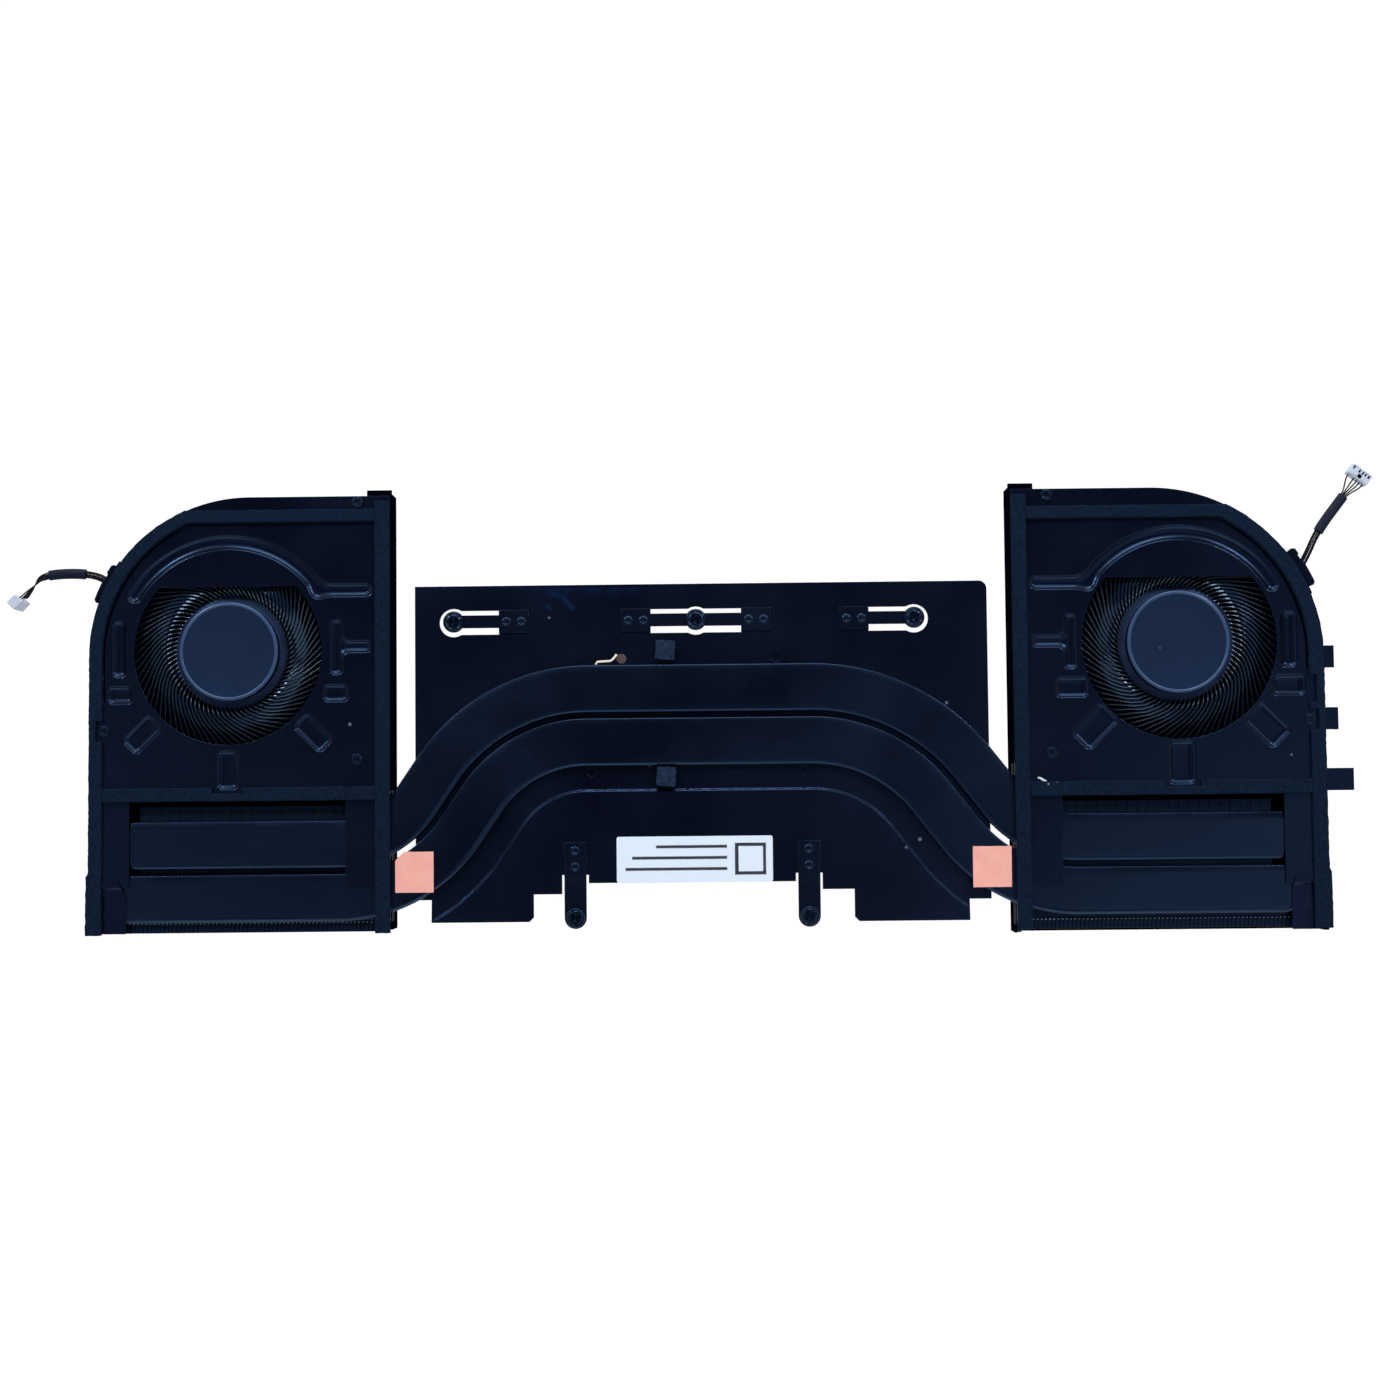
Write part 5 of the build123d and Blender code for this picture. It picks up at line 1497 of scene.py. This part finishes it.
PLACES = places_tree()
captive = [(x + MID[0], SCREW_ROW + MID[1], ARM_TOP) for x in (LEFT_SCREW, 0.0, RIGHT_SCREW)]
captive += [(x + MID[0], LOW_SCREW + MID[1], LOW_TOP - LOW_DROP) for x in LOW_ARMS]
add_piece("captive_screw_set", copies("captive", screw_mesh(2.6, 0.9, 1.0, 4.5), captive, "screw"), ["screw"],
          stands_for=["captive_screws"])
for b in BLOWERS:
    spots = b.place([(-35.2, 40.2), (b.outer - 3.8, -21.4), (-34.9, -29.7)])
    spots = [(x, y, COVER_TOP) for x, y in spots]
    mesh = copies("cover_screws", screw_mesh(1.55, 0.4, 0.6, 0.4), spots, "screw")
    add_piece(f"{b.name}_cover_screw_set", mesh, ["screw"],
              stands_for=[f"{b.name}_cover_screws"])

# %% [markdown]
# ## Foam blocks, label, foils and tapes
# The small stuck-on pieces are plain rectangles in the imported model. Each gets the one thing that tells
# it apart: the blocks are cut a little crooked, the label has a thin round-cornered film with plain grey
# bars, the foils and tapes have creases where they were pressed down.

# %% Small stuck pieces
def rounded_rectangle(low, high, r, steps=5):
    """A rectangle between two corners, with round corners of its own."""
    (left, front), (right, back) = (low[0] + r, low[1] + r), (high[0] - r, high[1] - r)
    loop = []
    for x, y, start in ((right, back, 0), (left, back, 90), (left, front, 180), (right, front, 270)):
        loop += arc_points((x, y), r, start, start + 90, steps)
    return np.array(loop)


def node_plan(node):
    """The lower and upper corner of a CAD node, in millimetres."""
    low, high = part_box(node)
    return np.array(low) / MM, np.array(high) / MM


def block_mesh(name, node, seed):
    """A foam block, cut uneven and set down a little turned."""
    low, high = node_plan(node)
    loop = walked(rounded_rectangle(low[:2], high[:2], 0.25, 2), 0.5)
    loop = loop + np.random.default_rng(seed).normal(0, 0.05, loop.shape)
    centre, turn = (low[:2] + high[:2]) / 2, math.radians(-3.5)
    turning = np.array([[math.cos(turn), math.sin(turn)], [-math.sin(turn), math.cos(turn)]])
    loop = (loop - centre) @ turning + centre
    return pressed(name, [loop], lambda p: high[2] - 0.1 + ripple(p, seed, 2.2, 0.22), floor=low[2], lip=0.3,
                   extra=grid(low, high, 0.4))


for side, seed in (("back", 21), ("front", 22)):
    add_piece(f"{side}_block", block_mesh(side, f"{side}_foam_block", seed), ["block"],
                        stands_for=[f"{side}_foam_block"])

low, high = node_plan("label")
# Corner and size of each plain grey bar
bars = [((2.4, 3.2), (27.5, 0.8)), ((4.1, 6.2), (25.8, 0.8)), ((10.6, 9.2), (19.3, 0.8)),
        ((32.0, 1.9), (8.4, 0.9)), ((32.0, 9.6), (8.4, 0.9)), ((32.0, 1.9), (0.9, 8.6)),
        ((39.5, 1.9), (0.9, 8.6))]
rects = [(low[0] + x, low[1] + y, low[0] + x + w, low[1] + y + h) for (x, y), (w, h) in bars]


def on_bar(p):
    """Which points lie on a grey bar."""
    x, y = p[:, 0], p[:, 1]
    return np.any([(x > a) & (x < c) & (y > b) & (y < d) for a, b, c, d in rects], axis=0)


label_net = np.concatenate([grid(np.array(r[:2]) - 0.3, np.array(r[2:]) + 0.4, 0.2) for r in rects])
mesh = pressed("label", [rounded_rectangle(low[:2], high[:2], 0.6)], level(high[2]), floor=low[2], lip=0.03,
               extra=label_net, ink=on_bar)
add_piece("printed_label", mesh, ["label", "ink"], stands_for=["label"])


def creased(name, node, folds, corner_cut=0.0, over=None):
    """A thin stuck sheet folded along straight lines. Each fold tilts the side on its left by a little.
    It may climb over an edge behind a given y, and its inner top corner may slant."""
    low, high = node_plan(node)
    loop = [(low[0], low[1]), (high[0], low[1]), (high[0], high[1]), (low[0] + corner_cut, high[1])]
    if corner_cut:
        loop.append((low[0], high[1] - corner_cut))
    size = high[:2] - low[:2]
    if over:
        edge, slant, side = over
        near, far = (low[0], high[0]) if side > 0 else (high[0], low[0])
        loop = [(far, low[1]), (near, low[1]), (near, edge - 2.5), (near + side * slant * 0.45, edge - 0.2),
                (near + side * slant, high[1]), (far, high[1] - 0.3)]

    def height(p):
        z = high[2] + ripple(p, len(name), 4.0, 0.05)
        if over:
            z = z + (COVER_TOP + 0.14 - high[2]) * ease((p[:, 1] - edge + 0.5) / 0.6)
        for (x0, y0), (x1, y1), tilt in folds:
            start, end = low[:2] + size * (x0, y0), low[:2] + size * (x1, y1)
            run = (end - start) / np.linalg.norm(end - start)
            z = z + tilt * np.maximum(run[0] * (p[:, 1] - start[1]) - run[1] * (p[:, 0] - start[0]), 0)
        return z

    return pressed(name, [walked(np.array(loop), 1.0)], height, thickness=0.08, lip=0.03,
                   extra=grid(low, high, 0.28))


# Start and end of each fold as shares of the sheet's size, and its tilt
FOIL_FOLDS = {"left": ((0.1, 0.9), (0.4, 0.5), 0.02), "right": ((0.0, 0.75), (0.5, 0.4), 0.03)}
FOIL_CUT = {"left": 2.4, "right": 0.0}
for side, fold in FOIL_FOLDS.items():
    mesh = creased(f"{side}_foil", f"{side}_copper_foil", [fold], FOIL_CUT[side])
    add_piece(f"{side}_foil", mesh, ["foil"], stands_for=[f"{side}_copper_foil"])

TAPE_FOLDS = {
    "left": [((0.0, 0.52), (1.0, 0.25), 0.05), ((0.78, 1.0), (1.0, 0.3), 0.06),
             ((0.9, 0.2), (0.1, 0.0), 0.04)],
    "right": [((1.0, 0.52), (0.0, 0.2), 0.05), ((0.3, 0.0), (0.6, 1.0), 0.05),
              ((0.2, 0.9), (0.9, 0.75), 0.04)],
}
TAPE_SLANT = {"left": 2.3, "right": 1.0}
for b in BLOWERS:
    over = (b.place([(0, -b.leg)])[0, 1], TAPE_SLANT[b.name], b.side)
    mesh = creased(f"{b.name}_tape", f"{b.name}_end_tape", TAPE_FOLDS[b.name], over=over)
    add_piece(f"{b.name}_tape", mesh, ["tape"], stands_for=[f"{b.name}_end_tape"])

# %% [markdown]
# ## Cold plates and the motor
# Under the pipes sit two machined copper plates, and inside each impeller is a small motor. They barely
# show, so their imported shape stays. The plates get round edges, and the motor's parts get their metals.

# %% Copper, steel and board
for side in ("left", "right"):
    add_piece(f"{side}_chip_plate", bevelled(f"{side}_cold_plate", 0.25), ["copper"],
              stands_for=[f"{side}_cold_plate"])
for b in BLOWERS:
    for node, material in (("rotor_magnet", "ferrite"), ("fan_shaft", "steel"), ("bearing_sleeve", "bronze"),
                           ("stator", "iron"), ("motor_board", "board")):
        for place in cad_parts[f"{b.name}_{node}"].material_slots:
            place.material = finishes[material]
print("motor parts keep their packed shape")

# %% [markdown]
# ## Leads and plugs
# A flat bundle of five thin wires leaves each blower through its clip, runs through a sleeve and ends in
# a small white plug, where the wires spread to their contacts. The route's points are the control points
# of a smooth NURBS curve. The curve's own points are read back, and every wire is laid beside them.

# %% Lead routes
LEAD_ROUTES = {
    "left": [(27.6, 15.4, 5.7), (31.9, 18.7, 5.7), (37.6, 21.9, 5.5), (51.6, 21.8, 4.3), (54.4, 18.4, 3.7),
             (57.4, 15.4, 3.2)],
    "right": [(31.2, 15.8, 5.7), (35.2, 22.2, 5.7), (38.9, 30.0, 4.9), (47.4, 40.1, 1.9), (50.7, 44.4, 1.5)],
}
LEAD_W, WIRE_R, WIRE_SWAY = 2.2, 0.2, 0.10
SLEEVE_HALF_W, SLEEVE_HALF_H = LEAD_W / 2 + 0.3, 0.6


def lead_line(b):
    """Points along the smooth route, in millimetres."""
    data = bpy.data.curves.new("lead_route", "CURVE")
    data.dimensions, data.resolution_u = "3D", 24
    spline = data.splines.new("NURBS")
    spline.points.add(len(LEAD_ROUTES[b.name]) - 1)
    for knot, (u, v, z) in zip(spline.points, LEAD_ROUTES[b.name]):
        knot.co = ((b.x + b.side * u) * MM, (b.y + v) * MM, z * MM, 1)
    spline.order_u = 3
    spline.use_endpoint_u = True
    carrier = bpy.data.objects.new("carrier", data)
    bpy.context.scene.collection.objects.link(carrier)
    mesh = baked(carrier, "lead_points")
    return np.array([v.co for v in mesh.vertices]) / MM


def beside(line, across, up):
    """The line moved sideways and up, square to its own run. The shifts may change along it."""
    run = np.gradient(line, axis=0)
    run /= np.linalg.norm(run, axis=1)[:, None]
    side = np.cross((0, 0, 1), run)
    side /= np.linalg.norm(side, axis=1)[:, None]
    over = np.cross(run, side)
    return line + side * np.reshape(across, (-1, 1)) + over * np.reshape(up, (-1, 1))


def oval(name, line, wide, high, steps, material):
    """A closed tube with an oval section along a line."""
    count = len(line)
    turns = np.linspace(0, 2 * math.pi, steps, endpoint=False)
    sides = [beside(line, np.full(count, wide * math.cos(t)), np.full(count, high * math.sin(t)))
             for t in turns]
    return painted(lofted(name, np.stack(sides, axis=1)), material)


# %% Leads and plugs
PLUG_L, PLUG_W, PLUG_H = 3.2, 6.4, 3.0
# Where the sleeve starts and ends, as shares of the lead
SLEEVE = {"left": (0.39, 0.71), "right": (0.46, 0.84)}
WIRE_SPOTS = (0.80, 0.43, 0.04, -0.38, -0.78)
PIN_SPOTS = (2.4, 0.55, -0.5, -1.4, -2.4)


def plug_mesh(b):
    """A housing with five contact slots and one round hole. The left one stands on its narrow side."""
    low, high = node_plan(f"{b.name}_lead_plug")
    ends = LEAD_ROUTES[b.name][-2:]
    heading = np.array([b.side * (ends[1][0] - ends[0][0]), ends[1][1] - ends[0][1]])
    heading /= np.linalg.norm(heading)
    across = np.array([-heading[1], heading[0]])
    centre = (low[:2] + high[:2]) / 2
    lies = b.side > 0
    wide, tall = (PLUG_W, PLUG_H) if lies else (PLUG_H, PLUG_W)
    corner = np.array([PLUG_L / 2, wide / 2])
    loop = rounded_rectangle(-corner, corner, 0.25, 3)

    def holes(p):
        if not lies:
            return np.full(len(p), 9.0)
        d = np.linalg.norm(p - (-0.6, -0.2), axis=1) - 0.6
        for spot in PIN_SPOTS:
            d = np.minimum(d, box_distance(p, (0.95, spot), (1.5, 0.44), 0.05))
        return d

    def height(p):
        return tall - 0.9 * ease((0.06 - holes(p)) / 0.14)

    mesh = pressed("plug", [loop], height, floor=0.0, lip=0.22, extra=grid(-corner, corner, 0.11),
                   ink=lambda p: holes(p) < 0.0)
    mesh.transform(Matrix(((heading[0], across[0], 0, centre[0] * MM),
                           (heading[1], across[1], 0, centre[1] * MM), (0, 0, 1, 0), (0, 0, 0, 1))))
    return mesh


def wire_line(b, line, share, i):
    """One wire: side by side as far as the sleeve's end, then spread to its place in the plug."""
    spread = ease((share - SLEEVE[b.name][1]) / (1 - SLEEVE[b.name][1]))
    sway = WIRE_SWAY * np.sin(7 * share + 2 * i) * (1 - spread)
    if b.side > 0:
        return beside(line, WIRE_SPOTS[i] + (PIN_SPOTS[i] - WIRE_SPOTS[i]) * spread, sway)
    return beside(line, WIRE_SPOTS[i] * (1 - spread), sway + PIN_SPOTS[i] * spread)


for b in BLOWERS:
    line = lead_line(b)
    steps = np.linalg.norm(np.diff(line, axis=0), axis=1)
    length = steps.sum()
    share = np.append(0, np.cumsum(steps)) / length
    wires = [oval("wire", wire_line(b, line, share, i), WIRE_R, WIRE_R, 8, 0) for i in range(len(WIRE_SPOTS))]
    start, end = SLEEVE[b.name]
    covered = line[(share > start) & (share < end)]
    wires.append(oval("sleeve", covered, SLEEVE_HALF_W, SLEEVE_HALF_H, 20, 1))
    plug = add_piece(f"{b.name}_plug", plug_mesh(b), ["plug", "wire"],
                     stands_for=[f"{b.name}_lead_plug"])
    lead = add_piece(f"{b.name}_wires", joined(f"{b.name}_wires", wires), ["wire", "sleeve"],
                     stands_for=[f"{b.name}_lead"])
    print(f"{b.name} lead: {length:.1f} mm")

# %% [markdown]
# ## Hand over
# The frame takes over.
